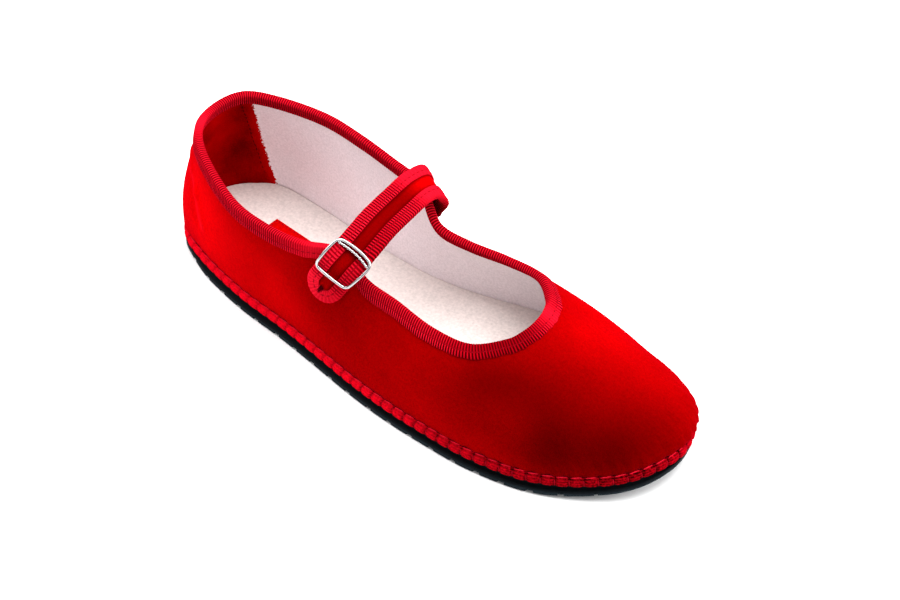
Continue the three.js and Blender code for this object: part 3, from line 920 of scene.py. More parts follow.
def length_setting(name, description, default):
    """A length in metres, as Blender keeps it."""
    return bpy.props.FloatProperty(
        name=name, description=description, default=default, min=0.0, precision=5,
        subtype="DISTANCE", unit="LENGTH",
    )


def colour_setting(name, description, default):
    return bpy.props.FloatVectorProperty(
        name=name, description=description, default=(*default, 1.0), size=4, min=0.0, max=1.0,
        subtype="COLOR",
    )


class ShoeSizes(bpy.types.PropertyGroup):
    """Sizes of the shoe's cloth, thread and stitches."""

    rib_pitch: length_setting("Rib pitch", "Distance between the collar ribbon's ribs", 0.00105)
    strap_rib_pitch: length_setting("Strap rib pitch", "Distance between the strap ribbon's ribs", 0.0013)
    hem_stitch: length_setting("Hem stitch", "Distance between stitches along the ribbons", 0.0024)
    thread: length_setting("Thread", "Thickness of the sewing thread", 0.00042)
    cord: length_setting("Welt thread", "Thickness of the thread that ties the midsole", 0.0005)
    brick_pitch: length_setting("Tie pitch", "Distance between the ties round the midsole", 0.0057)
    puff: length_setting("Puff", "How far the midsole's cloth swells between two ties", 0.001)
    pucker: length_setting("Pucker", "Height of the gathers where the velvet meets the sole", 0.00035)
    heel_piece: length_setting("Heel piece", "Thickness of the velvet piece inside the heel", 0.0005)
    tooth: length_setting("Tooth", "Length of the teeth on the buckle's bar", 0.0013)


class ShoeColours(bpy.types.PropertyGroup):
    """Colours of the shoe's materials."""

    # The velvet runs between these two colours with its nap, which carries painted light and shade as well as the
    # pile's lie.
    velvet_light: colour_setting("Light velvet", "Velvet brushed towards the light", (0.62, 0.0002, 0.0006))
    velvet_dark: colour_setting("Dark velvet", "Velvet brushed away from the light", (0.03, 0.0, 0.0))
    ribbon: colour_setting("Ribbon", "Plain face of the ribbon", (0.33, 0.0008, 0.005))
    # Painted highlight colour: the ribbon's rib crests, the heel ridge's crest and the welt thread are lit
    # towards it.
    rib_highlight: colour_setting("Rib", "Crests of the ribbon's ribs", (0.7, 0.008, 0.025))
    thread: colour_setting("Thread", "Sewing thread", (0.4, 0.004, 0.014))
    lining: colour_setting("Lining", "Cotton lining", (0.96, 0.89, 0.92))
    insole: colour_setting("Insole", "Brushed insole", (0.81, 0.725, 0.69))
    patch: colour_setting("Patch", "Plain patch on the insole", (0.66, 0.001, 0.001))
    rubber: colour_setting("Rubber", "Outsole rubber", (0.009, 0.014, 0.018))
    nickel: colour_setting("Nickel", "Buckle plating", (0.52, 0.525, 0.53))


# Operators

class PieceOperator:
    """What the operators share: their finishes, each made once, and the ways to dress and sew a piece."""

    bl_options = {"REGISTER", "UNDO"}
    finishes = {}

    def finish(self, context, name):
        sizes, colours = context.scene.shoe_sizes, context.scene.shoe_colours
        makers = {
            "velvet": lambda: velvet_finish(colours),
            "lining": lambda: lining_finish(colours),
            "ribbon": lambda: ribbon_finish(sizes, colours),
            "edge cloth": lambda: edge_cloth_finish(colours),
            "insole": lambda: insole_finish(colours),
            "patch": lambda: cloth_finish("Woven patch", colours.patch, PATCH_WEAVE),
            "thread": lambda: cloth_finish("Sewing thread", colours.thread, THREAD_TWIST),
            "hem thread": lambda: cloth_finish("Hem thread", shade(colours.thread, 0.6), THREAD_TWIST),
            # The welt thread is given the ribs' painted highlight colour.
            "welt thread": lambda: cloth_finish("Welt thread", colours.rib_highlight, THREAD_TWIST),
            "dark thread": lambda: cloth_finish("Dark thread", shade(colours.thread, 0.15), THREAD_TWIST),
            "rubber": lambda: rubber_finish(colours),
            "nickel": lambda: nickel_finish(colours),
        }
        if name not in self.finishes:
            self.finishes[name] = makers[name]()
        return self.finishes[name]

    def dress(self, context, piece, finish, slot, *nodes, **marks):
        """Gives a piece its marks, its finish and its place in the model."""
        for name, values in marks.items():
            mark(piece, name, values)
        piece.data.materials.append(self.finish(context, finish))
        finish_piece(piece, slot, *nodes)

    def threads(self, context, name, line, outs, closed, count, length, thickness, turn, finish, slot):
        """Lays a count of threads, or teeth, along a line of points."""
        piece = path(name, line, outs, closed)
        thread_tree().run(piece, {
            "Count": count, "Length": length, "Thickness": thickness, "Turn": turn,
            "Material": self.finish(context, finish),
        })
        finish_piece(piece, slot)

    def sew(self, context, name, line, outs, closed, finish, slot, share=0.72, weight=1.0):
        """A row of stitches at the hem's pitch: share is a stitch's part of the pitch, weight its thickness."""
        sizes = context.scene.shoe_sizes
        count = spaced(line, closed, sizes.hem_stitch / MM)
        length, thickness = share * sizes.hem_stitch, weight * sizes.thread
        self.threads(context, name, line, outs, closed, count, length, thickness, 0.0, finish, slot)


class SHOE_OT_upper(PieceOperator, bpy.types.Operator):
    """Velvet upper with its lining and the piece inside the heel"""

    bl_idname = "shoe.upper"
    bl_label = "Upper"

    def execute(self, context):
        sizes = context.scene.shoe_sizes
        columns, outer_rows, inner_rows = 600, 46, 28
        u = 0.5 + np.arange(columns) / columns
        t_outer = np.linspace(0, 1, outer_rows)
        t_inner = np.linspace(1, 0, inner_rows)

        outer = wall_point(u[:, None], t_outer)
        normal = wall_normal(u[:, None], t_outer)
        gathers = np.cos(2 * math.pi * u * round(GIRTH / (sizes.brick_pitch / MM)))[:, None]
        toe = smooth(outer[..., 0], *GATHERED_TOE)
        fade = np.exp(-(outer[..., 2] - outer[:, :1, 2]) / GATHER_HEIGHT)
        pucker = sizes.pucker / MM * gathers * (0.25 + 0.75 * toe)
        lift = fold_height(outer) + (pucker + hang(u)[:, None]) * fade
        outer = outer + lift[..., None] * normal

        inner = inside(u[:, None], t_inner, WALL)
        edge = np.interp(inner[..., 2], *HEEL_PIECE_EDGE.T) - (inner - MIDDLE)[..., 0]
        low = np.exp(-(inner[..., 2] - INSOLE_TOP).clip(0) / HEEL_CUP_HEIGHT)
        cup = 1 + HEEL_CUP * low * smooth(edge, 0, 10)
        relief = sizes.heel_piece / MM * smooth(edge, -0.2, 0.6) * cup
        inner = inner - relief[..., None] * wall_normal(u[:, None], t_inner)
        inner[..., 2] = np.maximum(inner[..., 2], outer[:, :1, 2])

        points = np.concatenate([outer, inner], axis=1)
        run = (np.arange(columns + 1) / columns - 0.5) * GIRTH * MM
        piece = loft("velvet_upper", points, grid(run, np.concatenate([t_outer, t_inner, t_outer[:1]])), True)
        none = np.zeros(inner.shape[:2])
        # Painted light and shade on the velvet's outer face, with the pile's lie; the lining's side keeps a
        # constant.
        marks = {
            "nap": (nap_of(outer), none + 0.4),
            "brush": (fade**0.6 * toe, none),
            "crest": (crest_highlight_of(outer), none),
            "heel_piece": (np.full(outer.shape[:2], FAR_FROM_PIECE), edge),
        }
        for name, parts in marks.items():
            mark(piece, name, np.concatenate(parts, axis=1))
        for finish in ("velvet", "lining"):
            piece.data.materials.append(self.finish(context, finish))
        face_rows = np.tile(np.arange(points.shape[1]) >= outer_rows - 1, columns)
        piece.data.polygons.foreach_set("material_index", face_rows.astype(np.int32))
        finish_piece(piece, "velvet", "upper")
        self.heel_stitches(context, u, t_inner, inner)
        return {"FINISHED"}

    def heel_stitches(self, context, u, t, inner):
        """Seams that hold the velvet piece inside the heel, on both sides."""
        depth = WALL + context.scene.shoe_sizes.heel_piece / MM + 0.1
        ahead = (inner - MIDDLE)[..., 0] - np.interp(inner[..., 2], *HEEL_PIECE_EDGE.T) + HEEL_SEAM
        sides = {"inner": (u > 0.8) & (u < 1.0), "outer": (u > 1.0) & (u < 1.2)}
        for side, chosen in sides.items():
            at = []
            for row in ahead[chosen, 2:-2].T:
                order = np.argsort(row)
                at.append(np.interp(0.0, row[order], u[chosen][order]))
            at = np.array(at)
            line, outs = inside(at, t[2:-2], depth), -wall_normal(at, t[2:-2])
            self.sew(context, f"heel_seam_{side}", line, outs, False, "dark thread", "velvet", 0.75)


class SHOE_OT_collar_binding(PieceOperator, bpy.types.Operator):
    """Ribbed ribbon folded over the collar and sewn along its hem"""

    bl_idname = "shoe.collar_binding"
    bl_label = "Collar binding"

    def execute(self, context):
        sizes = context.scene.shoe_sizes
        columns = RIB_STEPS * round(even_round(2, COLLAR)[1] / (sizes.rib_pitch / MM))
        u, _ = even_round(columns, COLLAR)
        hem, seam_row, top_ribs = BINDING_WIDTH, 5, 0.8
        legs = np.array([
            # distance below the collar, height of the ribbon's face over the wall, share of the ribs' relief
            (hem + 0.15, -0.3, 0), (hem + 0.1, 0.2, 0.3), (hem - 0.15, 0.55, 1.15), (hem - 1.2, 0.7, 1.15),
            (hem - 2.25, 0.72, 1.1), (hem - 2.65, 0.6, 0), (2.55, 0.74, top_ribs), (1.7, 0.8, top_ribs),
            (0.8, 0.8, top_ribs), (0.0, 0.78, top_ribs),
        ])
        down, height, ribbed = legs.T
        plain = 0.85 * sum(bell(np.mod(u - at + 0.5, 1) - 0.5, wide) for at, wide in PLAIN_RIBBON)
        relief = rib_relief(columns) * (1 - plain)
        face = height + relief[:, None] * ribbed
        wobble = 0.18 * np.sin(u * 2 * math.pi * 61) + 0.12 * np.sin(u * 2 * math.pi * 23 + 1)
        t = below_collar(u, down) - 0.01 * wobble[:, None] * smooth(down, 1.0, 5.0)
        fold = 0.82 + 0.14 * window(u, 0.5, 0.54, 0.64, 0.7)
        t_inner = below_collar(u, fold[:, None] * down)[:, ::-1]
        outer = inside(u[:, None], t, -face)
        inner = inside(u[:, None], t_inner, WALL + face[:, ::-1])
        crest = np.ones(columns)
        over = unit(wall_point(u, crest) - wall_point(u, t[:, seam_row]))
        angles = np.linspace(0, math.pi, 9)[1:-1]
        half = WALL / 2 + 0.72 + top_ribs * relief
        rise = (0.8 + top_ribs * relief)[:, None] * over
        top = np.stack([
            inside(u, crest, WALL / 2 - half * math.cos(a)) + math.sin(a) * rise for a in angles
        ], axis=1)
        points = np.concatenate([outer, top, inner], axis=1)
        rows, width = points.shape[1], run_along(points[0])
        run = np.arange(columns + 1) / RIB_STEPS * sizes.rib_pitch
        piece = loft("collar_ribbon", points, grid(run, np.append(width / width[-1], 1.0)), True)
        ribbed = np.concatenate([ribbed, np.full(len(angles), top_ribs), ribbed[::-1]])
        ahead = points[:, len(legs) - 1] - MIDDLE
        # Painted shade on the ribbon at the front of the throat.
        dim = bell(ahead[:, 0] - 54, 20) * (1 - smooth(ahead[:, 1], -10, 8))
        self.dress(
            context, piece, "ribbon", "ribbon", "collar_binding", plain=np.repeat(plain, rows),
            ribbed=np.tile(ribbed, columns), dim=np.repeat(dim, rows),
        )

        seams = {"outer": (-0.6, 1, t[:, seam_row]), "inner": (WALL + 0.6, -1, t_inner[:, -1 - seam_row])}
        for side, (depth, way, at) in seams.items():
            line, outs = inside(u, at, depth), way * wall_normal(u, at)
            self.sew(context, f"collar_seam_{side}", line, outs, True, "hem thread", "ribbon")
        return {"FINISHED"}


class SHOE_OT_strap(PieceOperator, bpy.types.Operator):
    """Velvet strap with ribbon round its edges, sewn to the inner side"""

    bl_idname = "shoe.strap"
    bl_label = "Strap"

    def execute(self, context):
        self.band(context)
        self.edging(context)
        self.seams(context)
        return {"FINISHED"}

    def band(self, context):
        """The velvet band, painted lighter over the bend, near the sewn end, inside the buckle and at the tip,
        and painted darker beside the ribbon and under the buckle's bar.
        """
        radius = STRAP_WIDTH / 2 - STRAP_GAP - RIBBON
        centre = STRAP_LENGTH - STRAP_WIDTH / 2
        steps, angle = 200, np.linspace(0, 0.48 * math.pi, 16)
        along = np.concatenate([np.linspace(0, centre, steps, endpoint=False), centre + radius * np.sin(angle)])
        half = np.concatenate([np.full(steps, radius), radius * np.cos(angle)])
        share = np.linspace(-1, 1, 13)
        crown = 0.12 * (1 - (share * radius / 3.0) ** 2).clip(0)
        top = strap_point(along[:, None], half[:, None] * share, STRAP_BODY / 2 + crown)
        under = strap_point(along[:, None], half[:, None] * share[::-1], -STRAP_BODY / 2)
        points = np.concatenate([top, under], axis=1)
        around = np.append(np.concatenate([share, share[::-1]]), -1) * radius * MM
        piece = loft("velvet_strap", points, grid(along * MM, around), False, 50.0)
        # Painted light and shade on the strap's velvet: lighter near the sewn end, over the bend, inside the
        # buckle and at the tip, darker under the buckle's bar and beside the ribbons.
        nap = 0.18 + 0.1 * (1 - smooth(along, 18, 46)) + 0.4 * window(along, 8, 18, 22, 36)
        nap += 0.12 * smooth(along, BUCKLE_START, BUCKLE_START + 3) + 0.25 * smooth(along, centre - 3, centre + 4)
        nap *= 1 - 0.6 * painted_shade_under_bar(along)
        nap = nap[:, None] * (1 - 0.5 * smooth(np.abs(np.tile(share, 2)) * radius, 1.4, 2.6))
        self.dress(context, piece, "velvet", "strap_velvet", "strap", nap=nap)

    def edging(self, context):
        """The ribbon folded round the strap's edges, with its ribs lost over the bend and at the tip, and painted
        light and shade.
        """
        sizes = context.scene.shoe_sizes
        face, hem = STRAP_TOP, STRAP_RIBBON_WIDTH + 0.4
        upper = np.array([
            # inset from the strap's edge, height over the strap's middle, share of the ribs' relief
            (hem + 0.1, face - 0.75, 0), (hem, face - 0.3, 0.3), (hem - 0.3, face - 0.08, 1),
            (hem - 1.6, face, 1), (hem - 2.0, face - 0.14, 0), (hem - 2.4, face, 0.9), (1.3, face, 0.9),
            (0.6, face - 0.12, 0.9), (0.2, face - 0.5, 0.9), (0.0, 0.0, 0.9),
        ])
        core = [(0.75, -0.75, 0), (0.75, 0.75, 0)]
        profile = np.concatenate([upper, upper[-2::-1] * (1, -1, 1), core])
        profile, ribbed = profile[:, :2], profile[:, 2]
        pitch = sizes.strap_rib_pitch / MM
        steps = RIB_STEPS * round((STRAP_LENGTH - STRAP_WIDTH / 2) / pitch)
        tip_steps = RIB_STEPS * round(math.pi * (STRAP_WIDTH - hem) / 2 / pitch) + 1

        def line(inset, height):
            return strap_point(*strap_outline(inset, steps, tip_steps), height)

        along, lean = strap_outline(0.0, steps, tip_steps)
        framed = smooth(along, BUCKLE_START, BUCKLE_START + 4)
        bend = 0.9 * window(along, 10, 18, 29, 38)
        tip = 0.8 * smooth(along, STRAP_LENGTH - 12, STRAP_LENGTH - 7)
        plain = bend + np.maximum(tip, 0.3 * framed)
        relief = rib_relief(len(along)) * (1 - plain)
        slope = unit(np.gradient(profile, axis=0))
        sideways = unit(line(0.0, 0.0) - line(1.0, 0.0))
        upward = strap_frame(along)[2]
        points = np.stack([
            line(*row) + (share * relief)[:, None] * (-way[0] * upward - way[1] * sideways)
            for row, way, share in zip(profile, slope, ribbed)
        ], axis=1)
        run = np.arange(len(along)) / RIB_STEPS * sizes.rib_pitch
        width = run_along(points[0, :-len(core)])
        across = np.concatenate([width / width[-1], (0.5, 0.5, 0.0)])
        piece = loft("strap_ribbon", points, grid(run, across), False)
        rim = profile[:, 1] < face - 0.11
        # Painted shade on the ribbon's rim near the sewn end.
        sewn = 0.95 * (1 - smooth(along, 6, 13))[:, None] * rim
        # Painted light and shade across the strap, one side lighter and the other darker, with painted light
        # inside the buckle and painted shade under its bar.
        turned = (0.12 + 0.65 * lean / STRAP_WIDTH) * smooth(along, 36, 62)
        dim = 0.8 * painted_shade_under_bar(along) - 0.35 * framed + turned
        self.dress(
            context, piece, "ribbon", "strap_ribbon", "strap_binding", plain=np.repeat(plain, len(profile)),
            ribbed=np.tile(ribbed, len(along)), dim=sewn + dim[:, None],
        )

    def seams(self, context):
        """Stitching along the ribbons, across the sewn end and on the tip."""
        slot = "strap_ribbon"
        outline = strap_outline(STRAP_RIBBON_WIDTH - 1.6, 120, 24)
        for side, way in {"top": 1, "under": -1}.items():
            line, outs = on_strap(*outline, way * (STRAP_TOP - 0.1))
            self.sew(context, f"strap_seam_{side}", line, way * outs, False, "hem thread", slot)
        start, end, half = 1.2, 9.0, STRAP_WIDTH / 2 - 1.2
        box = polygon([(start, -half), (start, half), (end, half), (end, -half)], 20)
        line, outs = on_strap(*box.T, STRAP_TOP + 0.1)
        self.sew(context, "strap_end_seam", line, outs, True, "hem thread", slot, 0.75, 1.3)
        tack = STRAP_LENGTH - np.linspace(4.0, 6.6, 12)
        line, outs = on_strap(tack, 0 * tack, STRAP_TOP - 0.1)
        count, length, turn = 6, 2.4 * MM, 1.35
        thickness = 1.2 * context.scene.shoe_sizes.thread
        self.threads(
            context, "strap_tip_tack", line, outs, False, count, length, thickness, turn, "dark thread", slot,
        )


class SHOE_OT_buckle(PieceOperator, bpy.types.Operator):
    """Wire buckle with its toothed bar"""

    bl_idname = "shoe.buckle"
    bl_label = "Buckle"

    def execute(self, context):
        side = (BUCKLE_WIDTH - BUCKLE_WIRE) / 2
        half = side - BUCKLE_CORNER
        near = BUCKLE_START + BUCKLE_CORNER
        far = BUCKLE_START + BUCKLE_LENGTH - BUCKLE_WIRE - BUCKLE_CORNER
        corners = [(far, half, 0), (far, -half, 90), (near, -half, 180), (near, half, 270)]
        route = []
        for along, across, start in corners:
            turn = np.radians(start + np.linspace(0, 90, 9))
            route.extend(zip(along + BUCKLE_CORNER * np.sin(turn), across + BUCKLE_CORNER * np.cos(turn)))
        route = np.array(route)
        route = np.concatenate([
            np.linspace(a, b, 14, endpoint=False) if np.linalg.norm(b - a) > 2 else a[None]
            for a, b in zip(route, np.roll(route, -1, axis=0))
        ])
        middle, reach = (near + far) / 2, (far - near) / 2 + BUCKLE_CORNER
        along, across = (route[:, 0] - middle) / reach, route[:, 1] / side
        ends_bow = (1 - across**2) * np.where(along > 0, BOW_FAR, BOW_NEAR)
        sides_bow = BOW_SIDES * (1 - along**2) * np.sign(across)
        route = self.askew(route + np.stack([ends_bow, sides_bow], -1))
        wire = self.bar("buckle_wire", route, WIRE_SHARE * BUCKLE_WIRE, 0.95, True)
        self.dress(context, wire, "nickel", "nickel", "buckle_frame")

        reach = BUCKLE_WIDTH / 2 - BUCKLE_WIRE
        across = np.linspace(-reach, reach, 24)
        bowed = BUCKLE_START + GRIP_BAR_AT - 0.8 + BOW_NEAR * (1 - (across / side) ** 2)
        route = self.askew(np.stack([bowed, across], -1))
        grip = self.bar("buckle_bar", route, GRIP_SHARE * GRIP_BAR, 1.0, False)
        self.dress(context, grip, "nickel", "grip_nickel", "buckle_grip_bar")

        line, outs = on_strap(*route[1:-1].T, STRAP_TOP + GAP + 0.3 * GRIP_BAR)
        length, width = context.scene.shoe_sizes.tooth, TOOTH_WIDTH * MM
        self.threads(
            context, "buckle_teeth", line, outs, False, TEETH, length, width, ACROSS, "nickel", "grip_nickel",
        )
        return {"FINISHED"}

    def askew(self, route):
        """The frame as it sits on the strap: narrower towards the tip and pulled towards the instep there."""
        far = (route[:, 0] - BUCKLE_START) / (BUCKLE_LENGTH - BUCKLE_WIRE)
        ahead = 0.5 + route[:, 1] / (BUCKLE_WIDTH - BUCKLE_WIRE)
        across = route[:, 1] * (NEAR_WIDTH - WIDTH_LOSS * far) + NEAR_SHIFT - SHIFT_LOSS * far
        return np.stack([route[:, 0] - FAR_LEAN * far * ahead, across], -1)

    def bar(self, name, route, diameter, width, ring):
        """A bar lying on the strap's ribbon, through points given along and across the strap."""
        centre, out = on_strap(*route.T, STRAP_TOP + GAP + diameter / 2)
        if ring:
            way = np.roll(centre, -1, axis=0) - np.roll(centre, 1, axis=0)
        else:
            way = np.gradient(centre, axis=0)
        side = unit(np.cross(way, out))
        sides = 16
        angle = np.linspace(0, 2 * math.pi, sides, endpoint=False)[None, :, None]
        points = centre[:, None] + diameter / 2 * (
            width * np.cos(angle) * side[:, None] + np.sin(angle) * out[:, None]
        )
        uv = grid(np.arange(len(route) + 1.0), np.linspace(0, 1, sides + 1))
        return loft(name, points, uv, ring, 50.0)


class SHOE_OT_midsole(PieceOperator, bpy.types.Operator):
    """Cloth-wrapped midsole tied with thread all round its edge"""

    bl_idname = "shoe.midsole"
    bl_label = "Midsole"

    def execute(self, context):
        sizes = context.scene.shoe_sizes
        bricks = round(GIRTH / (sizes.brick_pitch / MM))
        columns = BRICK_STEPS * bricks
        u, _ = even_round(columns)
        cell = np.arange(columns) / BRICK_STEPS
        profile = [
            # how far out, height over the midsole's foot, share of the puff
            (-6.0, 0.1, 0), (-1.2, 0.1, 0), (-0.7, 0.25, 0.4), (-0.4, 0.6, 0.8), (-0.25, 1.1, 1), (-0.2, 1.7, 1),
            (-0.2, 2.3, 1), (-0.3, 2.9, 1), (-0.5, 3.4, 0.9), (-0.9, 3.8, 0.6), (-1.4, 4.05, 0.3), (-1.9, 4.2, 0),
            (-6.0, 4.2, 0),
        ]
        along = sole_point(u, 0.0, 0.0)[0][:, 0]
        ahead = smooth(along, 50, 190)
        # Painted light on the cloth: strongest at the heel, less towards the toe, more on the toe's inner side.
        painted_brick_light = 1.72 - 1.36 * smooth(along, 80, 260) * (1 - 0.5 * smooth(u, 0.46, 0.52))
        toe = 0.45 + 0.55 * ahead
        painted_gap_shade = 0.6 - 0.45 * ahead
        tuck = MIDSOLE_TUCK * hang(u)
        rows, painted_brick_shading = [], []
        for grow, height, share in profile:
            middle = height / 2 - 1
            place = np.mod(cell + 0.09 * (1 - middle**2), 1)
            swell = 1 - np.abs(2 * place - 1) ** 4
            puff = share * toe * sizes.puff / MM * (swell - 0.45)
            lift = 0.25 * share * toe * (swell - 0.6) * np.sign(middle)
            rows.append(sole_point(u, grow + puff - tuck, MIDSOLE_FOOT + height + lift)[0])
            # Painted shade in the gaps between ties and towards the rolled top and foot of the cloth.
            cloth = painted_gap_shade + (1 - painted_gap_shade) * swell * (1 - 0.25 * middle**2)
            painted_brick_shading.append(np.full(columns, 0.35) if share == 0 else painted_brick_light * cloth)
        run = np.arange(columns + 1) / columns * GIRTH * MM
        uv = grid(run, np.arange(len(profile) + 1) * MM)
        piece = loft("midsole_edge", np.stack(rows, axis=1), uv, True)
        slot = "stitched_cloth"
        self.dress(context, piece, "edge cloth", slot, "midsole", puff=np.stack(painted_brick_shading, axis=1))

        line, outs = sole_point(u, -0.42 - tuck, MIDSOLE_FOOT + 2.1)
        length = TIE_LENGTH * MM
        self.threads(
            context, "midsole_ties", line, outs, True, bricks, length, sizes.cord, ACROSS, "thread", slot,
        )
        top = sole_point(u, -1.4, MIDSOLE_TOP + 0.28)
        line, outs = (np.roll(part, -BRICK_STEPS // 2, axis=0) for part in top)
        length, thickness = 0.82 * sizes.brick_pitch, 1.1 * sizes.cord
        outs = unit(outs + (0, 0, 1))
        self.threads(
            context, "midsole_top_seam", line, outs, True, bricks, length, thickness, 0.06, "welt thread", slot,
        )
        return {"FINISHED"}


class SHOE_OT_outsole(PieceOperator, bpy.types.Operator):
    """Moulded rubber outsole with a stepped edge and notched tread"""

    bl_idname = "shoe.outsole"
    bl_label = "Outsole"

    def execute(self, context):
        rim = 4.9
        u, _ = even_round(420)
        profile = [
            # how far out, height
            (-0.2, 0.0), (0.4, 0.15), (0.6, 0.6), (0.5, 2.8), (0.3, 3.15), (-0.3, 3.3), (-0.9, 3.45),
            (-1.15, 3.7), (-1.2, 4.2), (-1.2, rim),
        ]
        thin = 1 - 0.2 * smooth(sole_point(u, 0.0, 0.0)[0][:, 0], 200, 240)
        tuck = OUTSOLE_TUCK * np.maximum(hang(u - TUCK_SPREAD), hang(u + TUCK_SPREAD))
        points = np.stack([
            sole_point(u, grow - tuck, rim - (rim - height) * thin)[0] for grow, height in profile
        ])
        piece = loft("rubber_outsole", points, None, False)
        places, turns = [], []
        for x in np.arange(TREAD_PITCH, LENGTH - TREAD_PITCH, TREAD_PITCH):
            for side in (-1, 1):
                half = u[u <= 0.5] if side < 0 else u[u > 0.5]
                line = sole_point(half, 0.0, 0.0)[0]
                edge = line[np.argmin(np.abs(line[:, 0] - x))]
                climb = 2 * TOE_SPRING * max(0.0, edge[0] - SPRING_START) / (LENGTH - SPRING_START) ** 2
                places.append(edge - (0, side * (TREAD_LENGTH / 2 - TREAD_WIDTH), 0))
                turns.append((0, -math.atan(climb), side * TREAD_SLANT))
        marks = link_mesh("tread_places", np.array(places), [])
        mark(marks, "turn", turns, "FLOAT_VECTOR")
        notch = tuple(MM * size for size in (TREAD_WIDTH, TREAD_LENGTH, 2 * TREAD_DEPTH))
        rubber = self.finish(context, "rubber")
        tread_tree().run(piece, {"Places": marks, "Notch": notch, "Material": rubber})
        piece.data.set_sharp_from_angle(angle=math.radians(35))
        bpy.data.objects.remove(marks)
        finish_piece(piece, "rubber", "outsole")
        return {"FINISHED"}


class SHOE_OT_insole(PieceOperator, bpy.types.Operator):
    """Brushed insole with a plain sewn patch"""

    bl_idname = "shoe.insole"
    bl_label = "Insole"

    def execute(self, context):
        u, _ = even_round(400)
        profile = [
            # how far in from the sole's edge, height
            (-4.2, FEATHER), (-3.8, FEATHER + 0.8), (-3.75, INSOLE_TOP - 0.2), (-4.3, INSOLE_TOP - 0.02),
            (-8.0, INSOLE_TOP),
        ]
        points = np.stack([sole_point(u, grow, height)[0] for grow, height in profile])
        piece = loft("brushed_insole", points, None, False, 60.0)
        self.dress(context, piece, "insole", "suede", "insole")

        turn = math.radians(PATCH_TURN)
        spin = np.array([(math.cos(turn), math.sin(turn)), (-math.sin(turn), math.cos(turn))])

        def patch_ring(inset, height):
            corners = np.array([(-1, -1), (1, -1), (1, 1), (-1, 1)]) * np.subtract(PATCH_HALF, inset)
            flat = polygon(corners, 16)
            return np.column_stack([flat @ spin + PATCH_CENTRE, np.full(len(flat), INSOLE_TOP + height)]) + MIDDLE

        rings = np.stack([patch_ring(*row) for row in ((0.0, -0.1), (0.0, 0.2), (0.2, 0.35), (1.4, 0.36))])
        patch = loft("insole_patch", rings, None, False, 60.0)
        self.dress(context, patch, "patch", "suede")
        line = patch_ring(1.0, 0.38)
        outs = np.tile((0.0, 0.0, 1.0), (len(line), 1))
        count, thickness = spaced(line, True, PATCH_PITCH), context.scene.shoe_sizes.thread
        length = PATCH_STITCH * MM
        self.threads(context, "patch_seam", line, outs, True, count, length, thickness, 0.0, "thread", "suede")
        return {"FINISHED"}


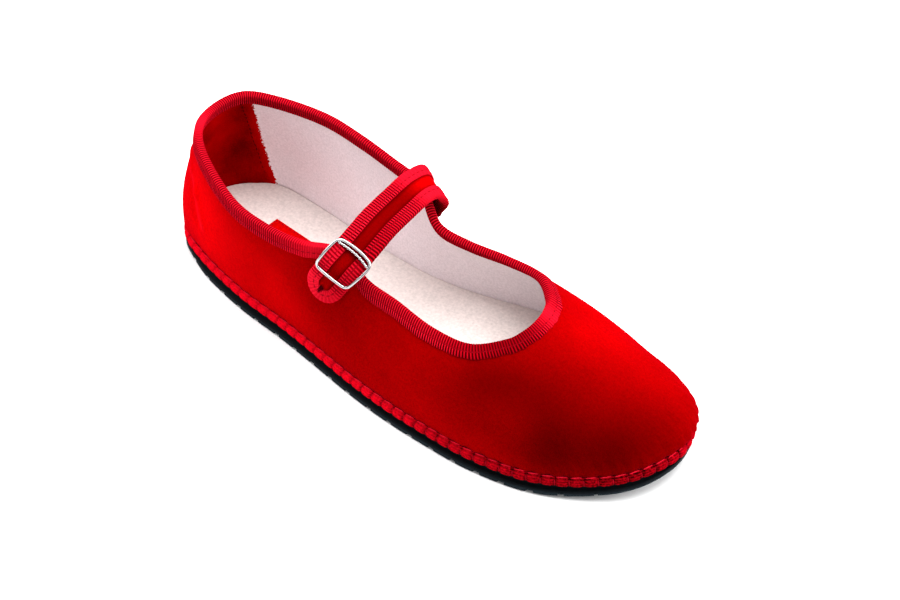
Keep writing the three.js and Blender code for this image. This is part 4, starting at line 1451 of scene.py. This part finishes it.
class SHOE_OT_stage(PieceOperator, bpy.types.Operator):
    """Pale floor, soft studio light and the photograph's camera"""

    bl_idname = "shoe.stage"
    bl_label = "Stage"

    world_light = 0.68
    aim = (0.0, 0.0, 0.02)
    # name, place, size, power
    lights = (
        ("overhead_softbox", (0.0, 0.35, 1.5), 1.6, 45.0),
        ("right_softbox", (1.3, 0.6, 0.9), 1.0, 21.0),
        ("left_softbox", (-1.3, -0.1, 0.8), 0.9, 15.0),
    )

    def execute(self, context):
        scene = context.scene
        floor = bpy.data.meshes.new("floor")
        floor.from_pydata([(-4, -4, 0), (4, -4, 0), (4, 4, 0), (-4, 4, 0)], [], [(0, 1, 2, 3)])
        floor.materials.append(floor_finish())
        ground = link_object("floor", floor)

        world = bpy.data.worlds.new("Studio")
        world.use_nodes = True
        background = world.node_tree.nodes["Background"].inputs
        background["Color"].default_value = (1.0, 1.0, 1.0, 1.0)
        background["Strength"].default_value = self.world_light
        scene.world = world
        for name, place, size, power in self.lights:
            lamp = bpy.data.lights.new(name, "AREA")
            lamp.size = size
            lamp.energy = power
            light = link_object(name, lamp)
            light.location = place
            light.rotation_euler = (Vector(self.aim) - Vector(place)).to_track_quat("-Z", "Y").to_euler()
        scene.view_settings.view_transform = "Standard"
        scene.view_settings.look = "None"

        turn, climb, roll = (math.radians(a) for a in (CAMERA_AZIMUTH, CAMERA_ELEVATION, CAMERA_ROLL))
        back = Vector((math.sin(turn) * math.cos(climb), -math.cos(turn) * math.cos(climb), math.sin(climb)))
        right = Vector((math.cos(turn), math.sin(turn), 0))
        up = back.cross(right)
        axes = Matrix((right, up, back)).transposed() @ Matrix.Rotation(roll, 3, "Z")
        lens = bpy.data.cameras.new("photo_camera")
        lens.lens = CAMERA_LENS
        lens.sensor_width = CAMERA_SENSOR
        camera = link_object("photo_camera", lens)
        place = (Vector(CAMERA_TARGET) + CAMERA_DISTANCE * back) * MM
        camera.matrix_world = Matrix.Translation(place) @ axes.to_4x4()
        scene.camera = camera
        return {"FINISHED"}


class SHOE_PT_panel(bpy.types.Panel):
    """Lists the shoe's settings and pieces"""

    bl_idname = "SHOE_PT_panel"
    bl_label = "Mary Jane Shoe"
    bl_space_type = "VIEW_3D"
    bl_region_type = "UI"
    bl_category = "Shoe"

    def draw(self, context):
        for settings in (context.scene.shoe_sizes, context.scene.shoe_colours):
            for name in settings.__annotations__:
                self.layout.prop(settings, name)
        for operator in OPERATORS:
            self.layout.operator(operator.bl_idname)


OPERATORS = (
    SHOE_OT_stage,
    SHOE_OT_outsole,
    SHOE_OT_midsole,
    SHOE_OT_insole,
    SHOE_OT_upper,
    SHOE_OT_collar_binding,
    SHOE_OT_strap,
    SHOE_OT_buckle,
)
CLASSES = (ShoeSizes, ShoeColours, *OPERATORS, SHOE_PT_panel)


def register():
    for cls in CLASSES:
        bpy.utils.register_class(cls)
    bpy.types.Scene.shoe_sizes = bpy.props.PointerProperty(type=ShoeSizes)
    bpy.types.Scene.shoe_colours = bpy.props.PointerProperty(type=ShoeColours)


def unregister():
    del bpy.types.Scene.shoe_colours
    del bpy.types.Scene.shoe_sizes
    for cls in reversed(CLASSES):
        bpy.utils.unregister_class(cls)


def main():
    register()
    bpy.ops.shoe.stage()
    bpy.ops.shoe.outsole()
    bpy.ops.shoe.midsole()
    bpy.ops.shoe.insole()
    bpy.ops.shoe.upper()
    bpy.ops.shoe.collar_binding()
    bpy.ops.shoe.strap()
    bpy.ops.shoe.buckle()


if __name__ == "__main__":
    main()
